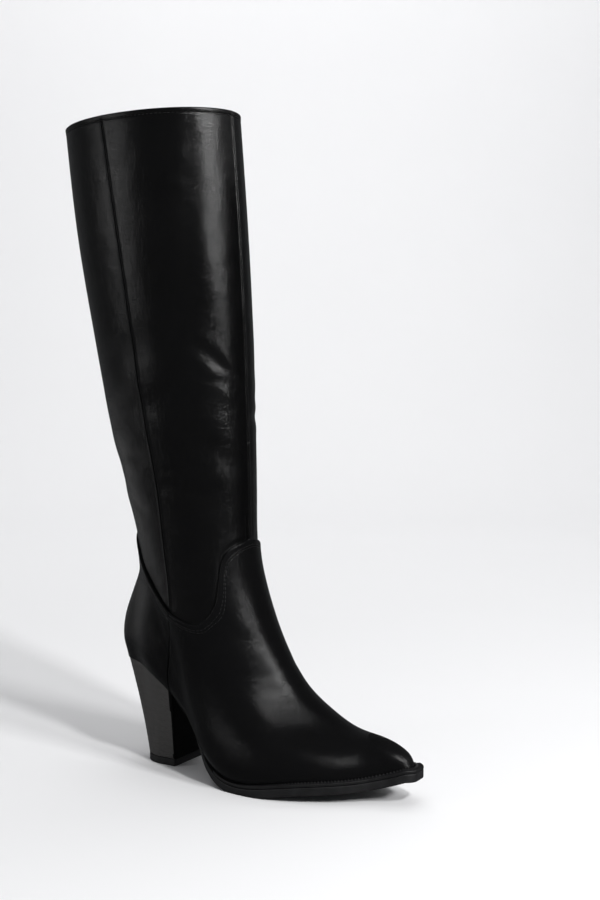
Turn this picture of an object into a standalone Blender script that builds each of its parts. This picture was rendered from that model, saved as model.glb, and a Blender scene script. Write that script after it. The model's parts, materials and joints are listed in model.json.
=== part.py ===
"""Knee-high boot for the right foot: leather shaft and foot, side zip, stitched-on sole, block heel.

Lengths are metres. +X points to the toe, +Y to the inner (zip) side, +Z up.
Every leather piece is a patch of one surface, which runs from the feather line, where the
upper meets the sole, up to the collar.
"""
import bmesh
import bpy
import numpy as np
from mathutils import Matrix, Vector

for old in list(bpy.data.objects):
    bpy.data.objects.remove(old, do_unlink=True)

# Driving sizes of the form inside the leather
FOOT_LENGTH = 0.2456
BALL_WIDTH = 0.082
HEEL_RISE = 0.0794
TOE_RISE = 0.0235
BOOT_HEIGHT = 0.4907
COLLAR_WIDTH = 0.100
OUTWARD_LEAN = 0.0214
ARCH_DROP = 0.033
HEEL_END_RADIUS = 0.026
TOE_END_RADIUS = 0.0065

# Leather and seams
WALL = 0.0022
OVERLAY = 0.0012
PIECE_GAP = 0.0003
OVERLAY_GAP = 0.0004
SEAT_GAP = 0.0005
SEAM_RIDGE_HALF = 0.0016
SEAM_RIDGE_HEIGHT = 0.0007

# Zip
SLOT_HALF = 0.0038
TAPE_HALF = 0.0085
TAPE_THICK = 0.0007
TAPE_GAP = 0.0005
COIL_HALF = 0.0021
COIL_CROWN_DEPTH = 0.0003
COIL_SIDE_DEPTH = 0.0009
SLIDER_LENGTH = 0.011
SLIDER_HALF = 0.0031
SLIDER_CAP = 0.0012
SLIDER_LEVEL = 0.972
BRIDGE_HALF = 0.0012
BRIDGE_INNER = 0.0012
BRIDGE_OUTER = 0.0022
PULL_LENGTH = 0.021
PULL_HALF = 0.0027
PULL_THICK = 0.0012
PULL_PIN_HALF = 0.0007

# Sole and heel
WELT_THICK = 0.0020
WELT_START = 0.445
SOLE_THICK = 0.0062
SHANK_THICK = 0.0034
SOLE_REACH = 0.0050
TIP_REACH = 0.0068
TIP_HALF = 0.0058
INSOLE_THICK = 0.0025
HEEL_BREAST = 0.057
HEEL_BREAST_LEAN = 0.0045
HEEL_FLARE = 0.0010
HEEL_BASE_BACK = 0.0178
HEEL_BASE_HALF = 0.0208
LIFT_THICK = 0.0055

# Rings of the form, from the feather line to the collar.
# back, front: share of FOOT_LENGTH.  back_up, front_up: share of the way from the heel or
# toe rise to BOOT_HEIGHT.  foot: share of the foot outline.  leg: share of half the collar
# width.  lean: share of OUTWARD_LEAN.  arch: share of ARCH_DROP.
RINGS = np.array([
    # back, back_up, front, front_up, foot, leg, lean, arch
    (0.000, 0.000, 1.000, 0.000, 1.00, 0.000, 0.000, 1.00),
    (-0.003, 0.012, 0.992, 0.009, 1.05, 0.000, 0.000, 1.00),
    (-0.012, 0.032, 0.981, 0.018, 1.08, 0.010, 0.000, 1.00),
    (-0.014, 0.056, 0.955, 0.027, 1.04, 0.040, 0.000, 0.97),
    (-0.006, 0.083, 0.902, 0.036, 0.94, 0.099, 0.000, 0.91),
    (0.011, 0.112, 0.819, 0.043, 0.78, 0.196, 0.000, 0.82),
    (0.031, 0.141, 0.720, 0.066, 0.58, 0.334, 0.000, 0.67),
    (0.052, 0.168, 0.634, 0.099, 0.38, 0.478, 0.062, 0.48),
    (0.062, 0.194, 0.566, 0.151, 0.21, 0.616, 0.164, 0.30),
    (0.062, 0.237, 0.510, 0.218, 0.08, 0.719, 0.265, 0.15),
    (0.055, 0.274, 0.473, 0.289, 0.02, 0.777, 0.348, 0.06),
    (0.025, 0.335, 0.462, 0.378, 0.00, 0.834, 0.374, 0.00),
    (-0.024, 0.444, 0.461, 0.495, 0.00, 0.904, 0.436, 0.00),
    (-0.070, 0.597, 0.459, 0.641, 0.00, 0.973, 0.572, 0.00),
    (-0.117, 0.779, 0.453, 0.817, 0.00, 1.012, 0.791, 0.00),
    (-0.151, 0.985, 0.439, 1.000, 0.00, 1.001, 1.002, 0.00),
])
# Foot outline at the feather line: share of FOOT_LENGTH, half widths as share of BALL_WIDTH.
OUTLINE = np.array([
    # along, outer, inner
    (0.06, 0.224, 0.232),
    (0.14, 0.333, 0.305),
    (0.27, 0.363, 0.287),
    (0.42, 0.498, 0.262),
    (0.55, 0.575, 0.360),
    (0.65, 0.552, 0.445),
    (0.75, 0.461, 0.421),
    (0.86, 0.283, 0.256),
    (0.95, 0.130, 0.128),
])
# Drop of the feather line below the straight line from heel to toe, as share of ARCH_DROP.
ARCH = np.array([
    # along, drop
    (0.00, 0.00),
    (0.12, -0.08),
    (0.25, 0.28),
    (0.40, 1.23),
    (0.55, 1.30),
    (0.66, 1.00),
    (0.78, 0.69),
    (0.90, 0.385),
    (1.00, 0.00),
])
# Top edge of vamp and counter: angle round from the back, share of the way up the form.
TOPLINE = np.array([
    # degrees, level
    (0, 0.304),
    (16, 0.296),
    (31, 0.277),
    (45, 0.248),
    (60, 0.229),
    (75, 0.234),
    (90, 0.242),
    (106, 0.248),
    (117, 0.265),
    (126, 0.285),
    (133, 0.309),
    (141, 0.339),
    (151, 0.357),
    (165, 0.366),
    (180, 0.370),
])
# Path of the two side seams: share of the way up, degrees forward of the heel's breast.
SIDE_SEAMS = np.array([
    # level, outer, inner
    (0.00, 0.0, 2.5),
    (0.08, 4.5, 11.5),
    (0.16, 10.5, 19.0),
    (0.24, 23.0, 24.5),
    (0.32, 30.5, 28.5),
    (0.42, 34.0, 31.0),
    (0.55, 32.5, 33.0),
    (0.75, 31.0, 34.0),
    (1.00, 26.0, 33.0),
])
# Sole edge beyond the feather line as share of SOLE_REACH, and sole thickness as share of the
# way from shank to sole.
SOLE_EDGE = np.array([
    # along, reach, thickness
    (0.00, -0.40, 0.0),
    (0.29, -0.30, 0.1),
    (0.35, 0.20, 0.5),
    (0.40, 0.84, 0.9),
    (0.46, 1.00, 1.0),
    (0.90, 1.00, 1.0),
    (1.00, 1.40, 1.0),
])

# Grid columns, in quarter turns: 0 back, 1 outer seam, 2 front, 3 zip, 4 back again
BACK_QUARTER = (0.0, 0.11, 0.22, 0.33, 0.43, 0.52, 0.61, 0.69, 0.77, 0.85, 0.93)
FRONT_QUARTER = (0.03, 0.07, 0.11, 0.155, 0.20, 0.25, 0.31, 0.37, 0.43, 0.49, 0.56, 0.63, 0.70, 0.78, 0.87, 0.94)
# Grid rows, as shares of three bands: feather line to topline, to the straight level, to the collar
FOOT_ROWS = (0.0, 0.035, 0.09, 0.16, 0.24, 0.33, 0.43, 0.54, 0.66, 0.78, 0.89, 1.0)
ANKLE_ROWS = (0.25, 0.5, 0.75, 1.0)
SHAFT_ROWS = (0.14, 0.29, 0.45, 0.61, 0.77, 0.92, 1.0)
STRAIGHT_LEVEL = 0.46
TOPLINE_ROW = len(FOOT_ROWS) - 1
ZIP_FOOT_ROW = 7
ROW_COUNT = len(FOOT_ROWS) + len(ANKLE_ROWS) + len(SHAFT_ROWS)
TAPE_TOP_LEVEL = 0.992


def spline(keys, values, at):
    """Smooth natural cubic curve through the rows of a table."""
    keys = np.asarray(keys, float)
    values = np.asarray(values, float)
    at = np.asarray(at, float)
    step = np.diff(keys)
    slope = np.diff(values, axis=0) / step.reshape((-1,) + (1,) * (values.ndim - 1))
    system = np.eye(len(keys))
    right = np.zeros_like(values)
    for i in range(1, len(keys) - 1):
        system[i, i - 1:i + 2] = step[i - 1], 2 * (step[i - 1] + step[i]), step[i]
        right[i] = 6 * (slope[i] - slope[i - 1])
    bend = np.linalg.solve(system, right)
    i = np.clip(np.searchsorted(keys, at, side="right") - 1, 0, len(keys) - 2)
    if values.ndim > 1:
        after = (at - keys[i])[..., None]
        width = step[i][..., None]
    else:
        after = at - keys[i]
        width = step[i]
    before = width - after
    curved = (bend[i] * before ** 3 + bend[i + 1] * after ** 3) / (6 * width)
    low = (values[i] / width - bend[i] * width / 6) * before
    high = (values[i + 1] / width - bend[i + 1] * width / 6) * after
    return curved + low + high


def ring_sizes():
    """The ring table in metres: back x, back z, front x, front z, foot, leg, lean, arch."""
    sizes = RINGS.copy()
    sizes[:, 0] *= FOOT_LENGTH
    sizes[:, 1] = HEEL_RISE + sizes[:, 1] * (BOOT_HEIGHT - HEEL_RISE)
    sizes[:, 2] *= FOOT_LENGTH
    sizes[:, 3] = TOE_RISE + sizes[:, 3] * (BOOT_HEIGHT - TOE_RISE)
    sizes[:, 5] *= COLLAR_WIDTH / 2
    sizes[:, 6] *= -OUTWARD_LEAN
    sizes[:, 7] *= ARCH_DROP
    return sizes


RING_SIZES = ring_sizes()
BACK_STEPS = np.hypot(*np.diff(RING_SIZES[:, 0:2], axis=0).T)
FRONT_STEPS = np.hypot(*np.diff(RING_SIZES[:, 2:4], axis=0).T)
RING_LEVELS = np.concatenate([[0], np.cumsum(BACK_STEPS + FRONT_STEPS)])
RING_LEVELS /= RING_LEVELS[-1]


def roundness(along, column):
    """Half width of the foot outline divided by a half circle's, so both ends stay round."""
    shares = OUTLINE[:, 0]
    inside = OUTLINE[:, column] * BALL_WIDTH / (2 * np.sqrt(shares * (1 - shares)))
    heel_end = np.sqrt(HEEL_END_RADIUS * FOOT_LENGTH / 2)
    toe_end = np.sqrt(TOE_END_RADIUS * FOOT_LENGTH / 2)
    keys = np.concatenate([[0], shares, [1]])
    return spline(keys, np.concatenate([[heel_end], inside, [toe_end]]), along)


def form(turn, level):
    """Point of the form. turn: 0 at the back, pi at the front, through the outer side first.

    level: 0 at the feather line, 1 at the collar.
    """
    turn, level = np.broadcast_arrays(np.asarray(turn, float), np.asarray(level, float))
    sizes = spline(RING_LEVELS, RING_SIZES, level)
    back_x, back_z, front_x, front_z, foot, leg, lean, arch = np.moveaxis(sizes, -1, 0)
    along = (1 - np.cos(turn)) / 2
    outer = np.sin(turn) >= 0
    round_half = np.where(outer, roundness(along, 1), roundness(along, 2))
    half = np.abs(np.sin(turn)) * (foot * round_half + leg)
    x = back_x + (front_x - back_x) * along
    y = np.where(outer, -half, half) + lean
    z = back_z + (front_z - back_z) * along - arch * spline(ARCH[:, 0], ARCH[:, 1], along)
    return np.stack([x, y, z], -1)


def unit(vectors):
    return vectors / np.linalg.norm(vectors, axis=-1, keepdims=True)


def form_slopes(turn, level):
    """Change of the form per radian of turn and per unit of level."""
    small = 1e-4
    high = np.minimum(level + small, 1)
    low = np.maximum(level - small, 0)
    across = (form(turn + small, level) - form(turn - small, level)) / (2 * small)
    upward = (form(turn, high) - form(turn, low)) / (high - low)[..., None]
    return across, upward


def outward(turn, level):
    """Outward normal of the form; level with the floor along the feather line."""
    across, upward = form_slopes(turn, level)
    normal = unit(np.cross(across, upward))
    flat = normal * np.array([1, 1, 0])
    return np.where((level <= 0)[..., None], unit(flat), normal)


def seat_height(x):
    """Height of the feather line over x, level past both ends."""
    along = np.clip(np.asarray(x, float) / FOOT_LENGTH, 0, 1)
    z = HEEL_RISE + (TOE_RISE - HEEL_RISE) * along
    return z - ARCH_DROP * spline(ARCH[:, 0], ARCH[:, 1], along)


def turn_of(along):
    """Turn of the point of the feather line at a share of the foot's length."""
    return np.arccos(1 - 2 * np.asarray(along, float))


def turn_at(place, slip, level):
    """Turn of a grid column: place in quarter turns, slip in metres to the side of it."""
    seams = np.radians(spline(SIDE_SEAMS[:, 0], SIDE_SEAMS[:, 1:], level))
    seams = seams + turn_of(HEEL_BREAST / FOOT_LENGTH)
    round_place = np.mod(place, 4)
    laps = (place - round_place) / 4
    knots = [0 * level, seams[..., 0], 0 * level + np.pi, 2 * np.pi - seams[..., 1], 0 * level + 2 * np.pi]
    quarter = np.minimum(np.floor(round_place), 3).astype(int)
    start = np.choose(quarter, knots[:4])
    end = np.choose(quarter, knots[1:])
    turn = start + (end - start) * (round_place - quarter) + 2 * np.pi * laps
    across, _ = form_slopes(turn, level)
    return turn + slip / np.linalg.norm(across, axis=-1)


def topline(turn):
    """Level of the top edge of vamp and counter."""
    fold = np.degrees(np.mod(turn, 2 * np.pi))
    fold = np.minimum(fold, 360 - fold)
    return spline(TOPLINE[:, 0], TOPLINE[:, 1], fold)


def row_levels(place, slip):
    """Levels of the grid rows of one column: [place, row]."""
    top = np.full(place.shape, 0.3)
    for _ in range(12):
        top = 0.5 * (top + topline(turn_at(place, slip, top)))
    foot = top[:, None] * np.array(FOOT_ROWS)
    ankle = top[:, None] + (STRAIGHT_LEVEL - top[:, None]) * np.array(ANKLE_ROWS)
    shaft = STRAIGHT_LEVEL + (1 - STRAIGHT_LEVEL) * np.array(SHAFT_ROWS)
    shaft = np.broadcast_to(shaft, (len(place), len(shaft)))
    return np.concatenate([foot, ankle, shaft], axis=1)


def grid(columns, rows=slice(None)):
    """Turns and levels of a patch: columns are (place, slip) pairs, slip may change by row."""
    place = np.array([c[0] for c in columns], float)
    slip = np.array([np.broadcast_to(c[1], ROW_COUNT) for c in columns], float)
    levels = row_levels(place, slip[:, TOPLINE_ROW])
    turns = turn_at(np.broadcast_to(place[:, None], levels.shape), slip, levels)
    return turns[:, rows], levels[:, rows]


def lifted(turns, levels, distance):
    """Points at a distance outside the form; the bottom row stays on the seat."""
    distance = np.broadcast_to(distance, turns.shape)
    points = form(turns, levels) + outward(turns, levels) * distance[..., None]
    on_seat = levels <= 0
    points[on_seat, 2] = seat_height(points[on_seat, 0])
    return points


def make_object(name, points, faces, color, roughness_value, metallic=0.0):
    """One closed solid with its own material, faces turned outward."""
    mesh = bpy.data.meshes.new(name)
    mesh.from_pydata([tuple(p) for p in points], [], faces)
    work = bmesh.new()
    work.from_mesh(mesh)
    bmesh.ops.recalc_face_normals(work, faces=work.faces)
    work.to_mesh(mesh)
    work.free()
    material = bpy.data.materials.new(name)
    material.use_nodes = True
    shader = material.node_tree.nodes["Principled BSDF"]
    shader.inputs["Base Color"].default_value = (*color, 1)
    shader.inputs["Roughness"].default_value = roughness_value
    shader.inputs["Metallic"].default_value = metallic
    mesh.materials.append(material)
    part = bpy.data.objects.new(name, mesh)
    BOOT.objects.link(part)
    return part


def sheet_solid(outer, inner, present, closed):
    """Points and faces of a thick sheet over the cells that are present.

    outer, inner: [column, row, xyz].  closed: the last column joins the first.
    """
    columns, rows = outer.shape[:2]
    spans = columns if closed else columns - 1
    index = np.arange(columns * rows).reshape(columns, rows)
    under = index + columns * rows

    def filled(i, j):
        if closed:
            i %= columns
        if i < 0 or i >= spans or j < 0 or j >= rows - 1:
            return False
        return bool(present[i, j])

    faces = []
    for i in range(spans):
        k = (i + 1) % columns
        for j in range(rows - 1):
            if not filled(i, j):
                continue
            faces.append((index[i, j], index[k, j], index[k, j + 1]))
            faces.append((index[i, j], index[k, j + 1], index[i, j + 1]))
            faces.append((under[i, j], under[k, j + 1], under[k, j]))
            faces.append((under[i, j], under[i, j + 1], under[k, j + 1]))
            if not filled(i, j - 1):
                faces.append((index[i, j], under[i, j], under[k, j], index[k, j]))
            if not filled(i, j + 1):
                faces.append((index[i, j + 1], index[k, j + 1], under[k, j + 1], under[i, j + 1]))
            if not filled(i - 1, j):
                faces.append((index[i, j], index[i, j + 1], under[i, j + 1], under[i, j]))
            if not filled(i + 1, j):
                faces.append((index[k, j], under[k, j], under[k, j + 1], index[k, j + 1]))
    points = np.concatenate([outer.reshape(-1, 3), inner.reshape(-1, 3)])
    used = sorted({v for face in faces for v in face})
    renumber = {old: new for new, old in enumerate(used)}
    return points[used], [tuple(renumber[v] for v in face) for face in faces]


def loft_solid(sections):
    """Points and faces of a closed loft through sections: [section, corner, xyz]."""
    count, corners = sections.shape[:2]
    index = np.arange(count * corners).reshape(count, corners)
    faces = []
    for i in range(count - 1):
        for j in range(corners):
            k = (j + 1) % corners
            faces.append((index[i, j], index[i, k], index[i + 1, k], index[i + 1, j]))
    faces.append(tuple(index[0]))
    faces.append(tuple(index[-1][::-1]))
    return sections.reshape(-1, 3), faces


def grid_columns():
    """Columns of the whole upper, once round from the back."""
    columns = [(place, 0) for place in BACK_QUARTER]
    columns += [(1, side * SEAM_RIDGE_HALF) for side in (-1, 0, 1)]
    columns += [(1 + place, 0) for place in FRONT_QUARTER]
    columns += [(2, side * SEAM_RIDGE_HALF) for side in (-1, 0, 1)]
    columns += [(3 - place, 0) for place in FRONT_QUARTER[::-1]]
    columns += [(3, -SLOT_HALF), (3, SLOT_HALF)]
    columns += [(4 - place, 0) for place in BACK_QUARTER[:0:-1]]
    return columns


def make_upper():
    """Hollow leather upper, open at the collar and under the foot, slotted for the zip."""
    columns = grid_columns()
    turns, levels = grid(columns)
    lift = np.zeros(turns.shape)
    for i, (place, slip) in enumerate(columns):
        if place in (1, 2) and slip == 0:
            lift[i, TOPLINE_ROW + 1:] = SEAM_RIDGE_HEIGHT
    present = np.ones(turns.shape, bool)
    present[columns.index((3, -SLOT_HALF)), ZIP_FOOT_ROW:] = False
    outer = lifted(turns, levels, lift)
    inner = lifted(turns, levels, -WALL)
    points, faces = sheet_solid(outer, inner, present, closed=True)
    return make_object("upper", points, faces, (0.018, 0.018, 0.020), 0.38)


def overlay_edge(side):
    """Slip of an overlay's edge at the zip: wide beside the slot, closed up below it."""
    slip = np.full(ROW_COUNT, SLOT_HALF)
    slip[:ZIP_FOOT_ROW] = PIECE_GAP / 2
    return side * slip


def make_overlay(name, columns):
    """Leather piece over the foot of the upper, from the feather line to the topline."""
    turns, levels = grid(columns, slice(0, TOPLINE_ROW + 1))
    inner = lifted(turns, levels, OVERLAY_GAP)
    outer = lifted(turns, levels, OVERLAY_GAP + OVERLAY)
    present = np.ones(turns.shape, bool)
    points, faces = sheet_solid(outer, inner, present, closed=False)
    return make_object(name, points, faces, (0.020, 0.020, 0.022), 0.34)


def make_vamp():
    columns = [(1, PIECE_GAP / 2)]
    columns += [(1 + place, 0) for place in FRONT_QUARTER]
    columns += [(2, side * SEAM_RIDGE_HALF) for side in (-1, 0, 1)]
    columns += [(3 - place, 0) for place in FRONT_QUARTER[::-1]]
    columns += [(3, overlay_edge(-1))]
    return make_overlay("vamp", columns)


def make_counter():
    columns = [(3, overlay_edge(1))]
    columns += [(4 - place, 0) for place in BACK_QUARTER[:0:-1]]
    columns += [(4 + place, 0) for place in BACK_QUARTER]
    columns += [(5, -PIECE_GAP / 2)]
    return make_overlay("counter", columns)


def make_zip_tape():
    """Woven tape behind the slot, just inside the upper."""
    columns = [(3, slip) for slip in (-TAPE_HALF, -SLOT_HALF, SLOT_HALF, TAPE_HALF)]
    turns, levels = grid(columns, slice(ZIP_FOOT_ROW - 1, ROW_COUNT))
    levels = np.minimum(levels, TAPE_TOP_LEVEL)
    outer = lifted(turns, levels, -WALL - TAPE_GAP)
    inner = lifted(turns, levels, -WALL - TAPE_GAP - TAPE_THICK)
    present = np.ones(turns.shape, bool)
    points, faces = sheet_solid(outer, inner, present, closed=False)
    return make_object("zip_tape", points, faces, (0.012, 0.012, 0.013), 0.85)


def slider_frame():
    """Middle of the slider on the form, and its across, up and outward directions."""
    place = np.array(3.0)
    level = np.array(SLIDER_LEVEL)
    turn = turn_at(place, 0.0, level)
    centre = form(turn, level)
    below = form(turn_at(place, 0.0, level - 0.01), level - 0.01)
    up = unit(centre - below)
    normal = outward(turn, level)
    across = unit(np.cross(up, normal))
    return centre, across, up, np.cross(across, up)


def make_zip_coil():
    """Closed coil down the middle of the slot, up to the slider."""
    columns = [(3, slip) for slip in (-COIL_HALF, 0, COIL_HALF)]
    turns, levels = grid(columns, slice(ZIP_FOOT_ROW, ROW_COUNT))
    rise = RING_SIZES[-1, 1] - RING_SIZES[-2, 1]
    level_per_metre = (RING_LEVELS[-1] - RING_LEVELS[-2]) / rise
    top = SLIDER_LEVEL - (SLIDER_LENGTH / 2 + PIECE_GAP) * level_per_metre
    levels = np.clip(levels, levels[:, :1] + 3 * PIECE_GAP * level_per_metre, top)
    turns = turns[:, :-1]
    levels = levels[:, :-1]
    depth = np.array([COIL_SIDE_DEPTH, COIL_CROWN_DEPTH, COIL_SIDE_DEPTH])
    outer = lifted(turns, levels, -depth[:, None])
    inner = lifted(turns, levels, -WALL)
    present = np.ones(turns.shape, bool)
    points, faces = sheet_solid(outer, inner, present, closed=False)
    return make_object("zip_coil", points, faces, (0.010, 0.010, 0.011), 0.55)


def to_world(frame, across, up, out):
    """Point given by distances from the slider's middle."""
    centre, across_axis, up_axis, out_axis = frame
    return centre + across * across_axis + up * up_axis + out * out_axis


def prism(frame, outline, low, high, along):
    """Prism over an outline of point pairs; along names the axis it is stretched on."""
    points = []
    for end in (low, high):
        for a, b in outline:
            if along == "out":
                points.append(to_world(frame, a, b, end))
            else:
                points.append(to_world(frame, end, a, b))
    count = len(outline)
    faces = [tuple(range(count))[::-1], tuple(range(count, 2 * count))]
    for i in range(count):
        k = (i + 1) % count
        faces.append((i, k, count + k, count + i))
    return points, faces


def slider_outline():
    """Shield shape of the slider: wide shoulders at the top, narrower tail."""
    half = SLIDER_HALF
    reach = SLIDER_LENGTH / 2
    right = [(half * 0.62, -reach), (half * 0.74, -reach * 0.3), (half, reach * 0.35), (half * 0.8, reach)]
    return right + [(-a, b) for a, b in right[::-1]]


def pull_axis_height():
    """The pull's pin sits in the middle of the bridge's opening."""
    return SLIDER_CAP + BRIDGE_INNER


def make_zip_slider():
    """Slider body with the bridge that holds the pull, joined into one piece."""
    frame = slider_frame()
    body = make_object("zip_slider", *prism(frame, slider_outline(), -WALL, SLIDER_CAP, "out"),
                       (0.62, 0.60, 0.57), 0.25, 1.0)
    centre_height = pull_axis_height()
    foot = SLIDER_CAP / 2
    arc = np.linspace(0, np.pi, 9)
    outer = [(BRIDGE_OUTER * np.cos(a), centre_height + BRIDGE_OUTER * np.sin(a)) for a in arc]
    inner = [(BRIDGE_INNER * np.cos(a), centre_height + BRIDGE_INNER * np.sin(a)) for a in arc]
    outline = [(BRIDGE_OUTER, foot)] + outer + [(-BRIDGE_OUTER, foot), (-BRIDGE_INNER, foot)]
    outline += inner[::-1] + [(BRIDGE_INNER, foot)]
    bridge = make_object("bridge", *prism(frame, outline, -BRIDGE_HALF, BRIDGE_HALF, "across"),
                         (0.62, 0.60, 0.57), 0.25, 1.0)
    join = body.modifiers.new("join", "BOOLEAN")
    join.operation = "UNION"
    join.solver = "EXACT"
    join.object = bridge
    keep_modified(body)
    bpy.data.objects.remove(bridge, do_unlink=True)
    return body


def keep_modified(part):
    """Replace a part's mesh by what its modifiers make."""
    bpy.context.view_layer.update()
    graph = bpy.context.evaluated_depsgraph_get()
    made = bpy.data.meshes.new_from_object(part.evaluated_get(graph))
    made.name = part.name
    part.modifiers.clear()
    part.data = made


def hanging_frame():
    """Frame of the pull: its pin in the bridge's opening, its length straight down."""
    slider = slider_frame()
    pin = to_world(slider, 0, 0, pull_axis_height())
    across = slider[1]
    vertical = np.array([0.0, 0.0, 1.0])
    up = unit(vertical - across * np.dot(vertical, across))
    return pin, across, up, np.cross(across, up)


def make_zip_pull():
    """Flat pull hanging from the bridge; its object origin lies on the hinge axis."""
    frame = hanging_frame()
    eye_bottom = -BRIDGE_OUTER - 2 * PIECE_GAP
    tail = -PULL_LENGTH + PULL_PIN_HALF
    waist = PULL_HALF * 0.8
    right = [
        (waist, PULL_PIN_HALF), (waist, eye_bottom), (PULL_HALF * 0.9, eye_bottom + tail * 0.14),
        (PULL_HALF, tail * 0.8), (PULL_HALF * 0.8, tail * 0.95), (PULL_HALF * 0.4, tail),
    ]
    left = [(-a, b) for a, b in right[::-1]]
    eye_half = BRIDGE_HALF + PIECE_GAP
    top = -PULL_PIN_HALF
    eye = [(eye_half, top), (eye_half, eye_bottom), (-eye_half, eye_bottom), (-eye_half, top)]
    low = -PULL_THICK / 2
    high = PULL_THICK / 2
    plate = make_object("zip_pull", *prism(frame, right + left, low, high, "out"),
                        (0.66, 0.64, 0.61), 0.22, 1.0)
    cutter = make_object("eye", *prism(frame, eye, low * 2, high * 2, "out"),
                         (0.66, 0.64, 0.61), 0.22, 1.0)
    cut = plate.modifiers.new("eye", "BOOLEAN")
    cut.operation = "DIFFERENCE"
    cut.solver = "EXACT"
    cut.object = cutter
    keep_modified(plate)
    bpy.data.objects.remove(cutter, do_unlink=True)
    hinge = Vector(frame[0])
    plate.data.transform(Matrix.Translation(-hinge))
    plate.location = hinge
    return plate


def edge_point(turn, reach):
    """Point beside the feather line, moved outward in plan by reach."""
    turn = np.asarray(turn, float)
    level = np.zeros(turn.shape)
    point = form(turn, level) + outward(turn, level) * np.asarray(reach)[..., None]
    return point[..., :2]


def on_seat(plan, above):
    """Plan points set at a height above the seat."""
    z = seat_height(plan[..., 0]) + above
    return np.concatenate([plan, z[..., None]], axis=-1)


def sole_reach(along):
    return SOLE_REACH * np.interp(along, SOLE_EDGE[:, 0], SOLE_EDGE[:, 1])


def sole_thickness(along):
    share = np.interp(along, SOLE_EDGE[:, 0], SOLE_EDGE[:, 2])
    return SHANK_THICK + (SOLE_THICK - SHANK_THICK) * share


def tip_x():
    """The sole is cut off square at the toe."""
    return FOOT_LENGTH + TIP_REACH


def sole_plan(along, side):
    """Edge of the sole in plan on one side (1 outer, -1 inner), cut square at the tip."""
    plan = edge_point(side * turn_of(along), sole_reach(along))
    plan[..., 0] = np.minimum(plan[..., 0], tip_x())
    return plan


def plate(sides, above, thickness):
    """Sections of a plate under or over the seat between its outer and inner edge."""
    outer, inner = sides
    top_outer = on_seat(outer, above)
    top_inner = on_seat(inner, above)
    drop = np.zeros(top_outer.shape)
    drop[:, 2] = thickness
    return np.stack([top_outer, top_inner, top_inner - drop, top_outer - drop], axis=1)


def make_outsole():
    """Sole from the heel's breast to the toe, flat on the floor under the ball."""
    start = (HEEL_BREAST + 2 * PIECE_GAP) / FOOT_LENGTH
    shares = np.concatenate([
        np.linspace(start, 0.46, 15), np.linspace(0.49, 0.82, 11), np.linspace(0.85, 0.97, 6), [0.985],
    ])
    outer = sole_plan(shares, 1)
    inner = sole_plan(shares, -1)
    start_x = HEEL_BREAST + 2 * PIECE_GAP
    outer[0, 0] = start_x
    inner[0, 0] = start_x
    tip = np.array([[tip_x(), TIP_HALF]])
    outer = np.concatenate([outer, tip * [1, -1]])
    inner = np.concatenate([inner, tip])
    shares = np.append(shares, 1)
    sections = plate((outer, inner), -SEAT_GAP, sole_thickness(shares))
    sections[:, 2:, 2] = np.maximum(sections[:, 2:, 2], 0)
    points, faces = loft_solid(sections)
    return make_object("outsole", points, faces, (0.055, 0.055, 0.060), 0.6)


def make_welt():
    """Narrow strip on the sole's rim round the front of the foot."""
    start = turn_of(WELT_START)
    turns = np.linspace(start, np.pi, 41)
    turns = np.concatenate([turns, 2 * np.pi - turns[-2::-1]])
    along = (1 - np.cos(turns)) / 2
    inside = edge_point(turns, np.full(turns.shape, OVERLAY_GAP + OVERLAY + 2 * PIECE_GAP))
    above = np.full(turns.shape, WELT_THICK / (BACK_STEPS[0] + FRONT_STEPS[0]) * 2 * RING_LEVELS[1])
    bulge = form(turns, above) - form(turns, np.zeros(turns.shape))
    inside_top = inside + bulge[:, :2]
    outside = edge_point(turns, sole_reach(along))
    outside[:, 0] = np.minimum(outside[:, 0], tip_x())
    sections = np.stack([
        on_seat(inside, 0), on_seat(outside, 0), on_seat(outside, WELT_THICK),
        on_seat(inside_top, WELT_THICK),
    ], axis=1)
    points, faces = loft_solid(sections)
    return make_object("welt", points, faces, (0.060, 0.060, 0.066), 0.55)


def make_insole():
    """Footbed on the seat, just inside the upper's wall."""
    shares = np.concatenate([[0.022], np.linspace(0.05, 0.9, 32), [0.94, 0.965]])
    reach = np.full(shares.shape, -WALL - 2 * PIECE_GAP)
    reach[-2:] -= 3 * PIECE_GAP
    outer = edge_point(turn_of(shares), reach)
    inner = edge_point(-turn_of(shares), reach)
    sections = plate((outer, inner), INSOLE_THICK, INSOLE_THICK)
    points, faces = loft_solid(sections)
    return make_object("insole", points, faces, (0.10, 0.085, 0.07), 0.8)


def even_points(path, shares):
    """Points at shares of a path's length."""
    steps = np.hypot(*np.diff(path, axis=0).T)
    length = np.concatenate([[0], np.cumsum(steps)])
    return np.stack([np.interp(shares * length[-1], length, path[:, k]) for k in (0, 1)], axis=-1)


def heel_base_half(shares, side, breast):
    """Half of the heel's foot in plan, from the middle of the back to the breast."""
    arc = np.linspace(0, np.pi / 2, 40)
    x = HEEL_BASE_BACK + HEEL_BASE_HALF * (1 - np.cos(arc))
    y = HEEL_BASE_HALF * np.sin(arc)
    path = np.stack([np.append(x, breast), np.append(y, y[-1])], axis=-1)
    return even_points(path, shares) * [1, side]


def heel_top_half(shares, side):
    """Half of the heel's top in plan, along the foot's edge."""
    turns = np.linspace(0, turn_of(HEEL_BREAST / FOOT_LENGTH), 60)
    path = edge_point(side * turns, np.full(turns.shape, HEEL_FLARE))
    path[0, 1] = 0
    points = even_points(path, shares)
    points[-1, 0] = HEEL_BREAST
    return points


HEEL_SHARES = np.array([0.03, 0.09, 0.16, 0.24, 0.32, 0.40, 0.48, 0.56, 0.63, 0.70, 0.76, 0.82, 0.88, 0.94, 1.0])


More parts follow.
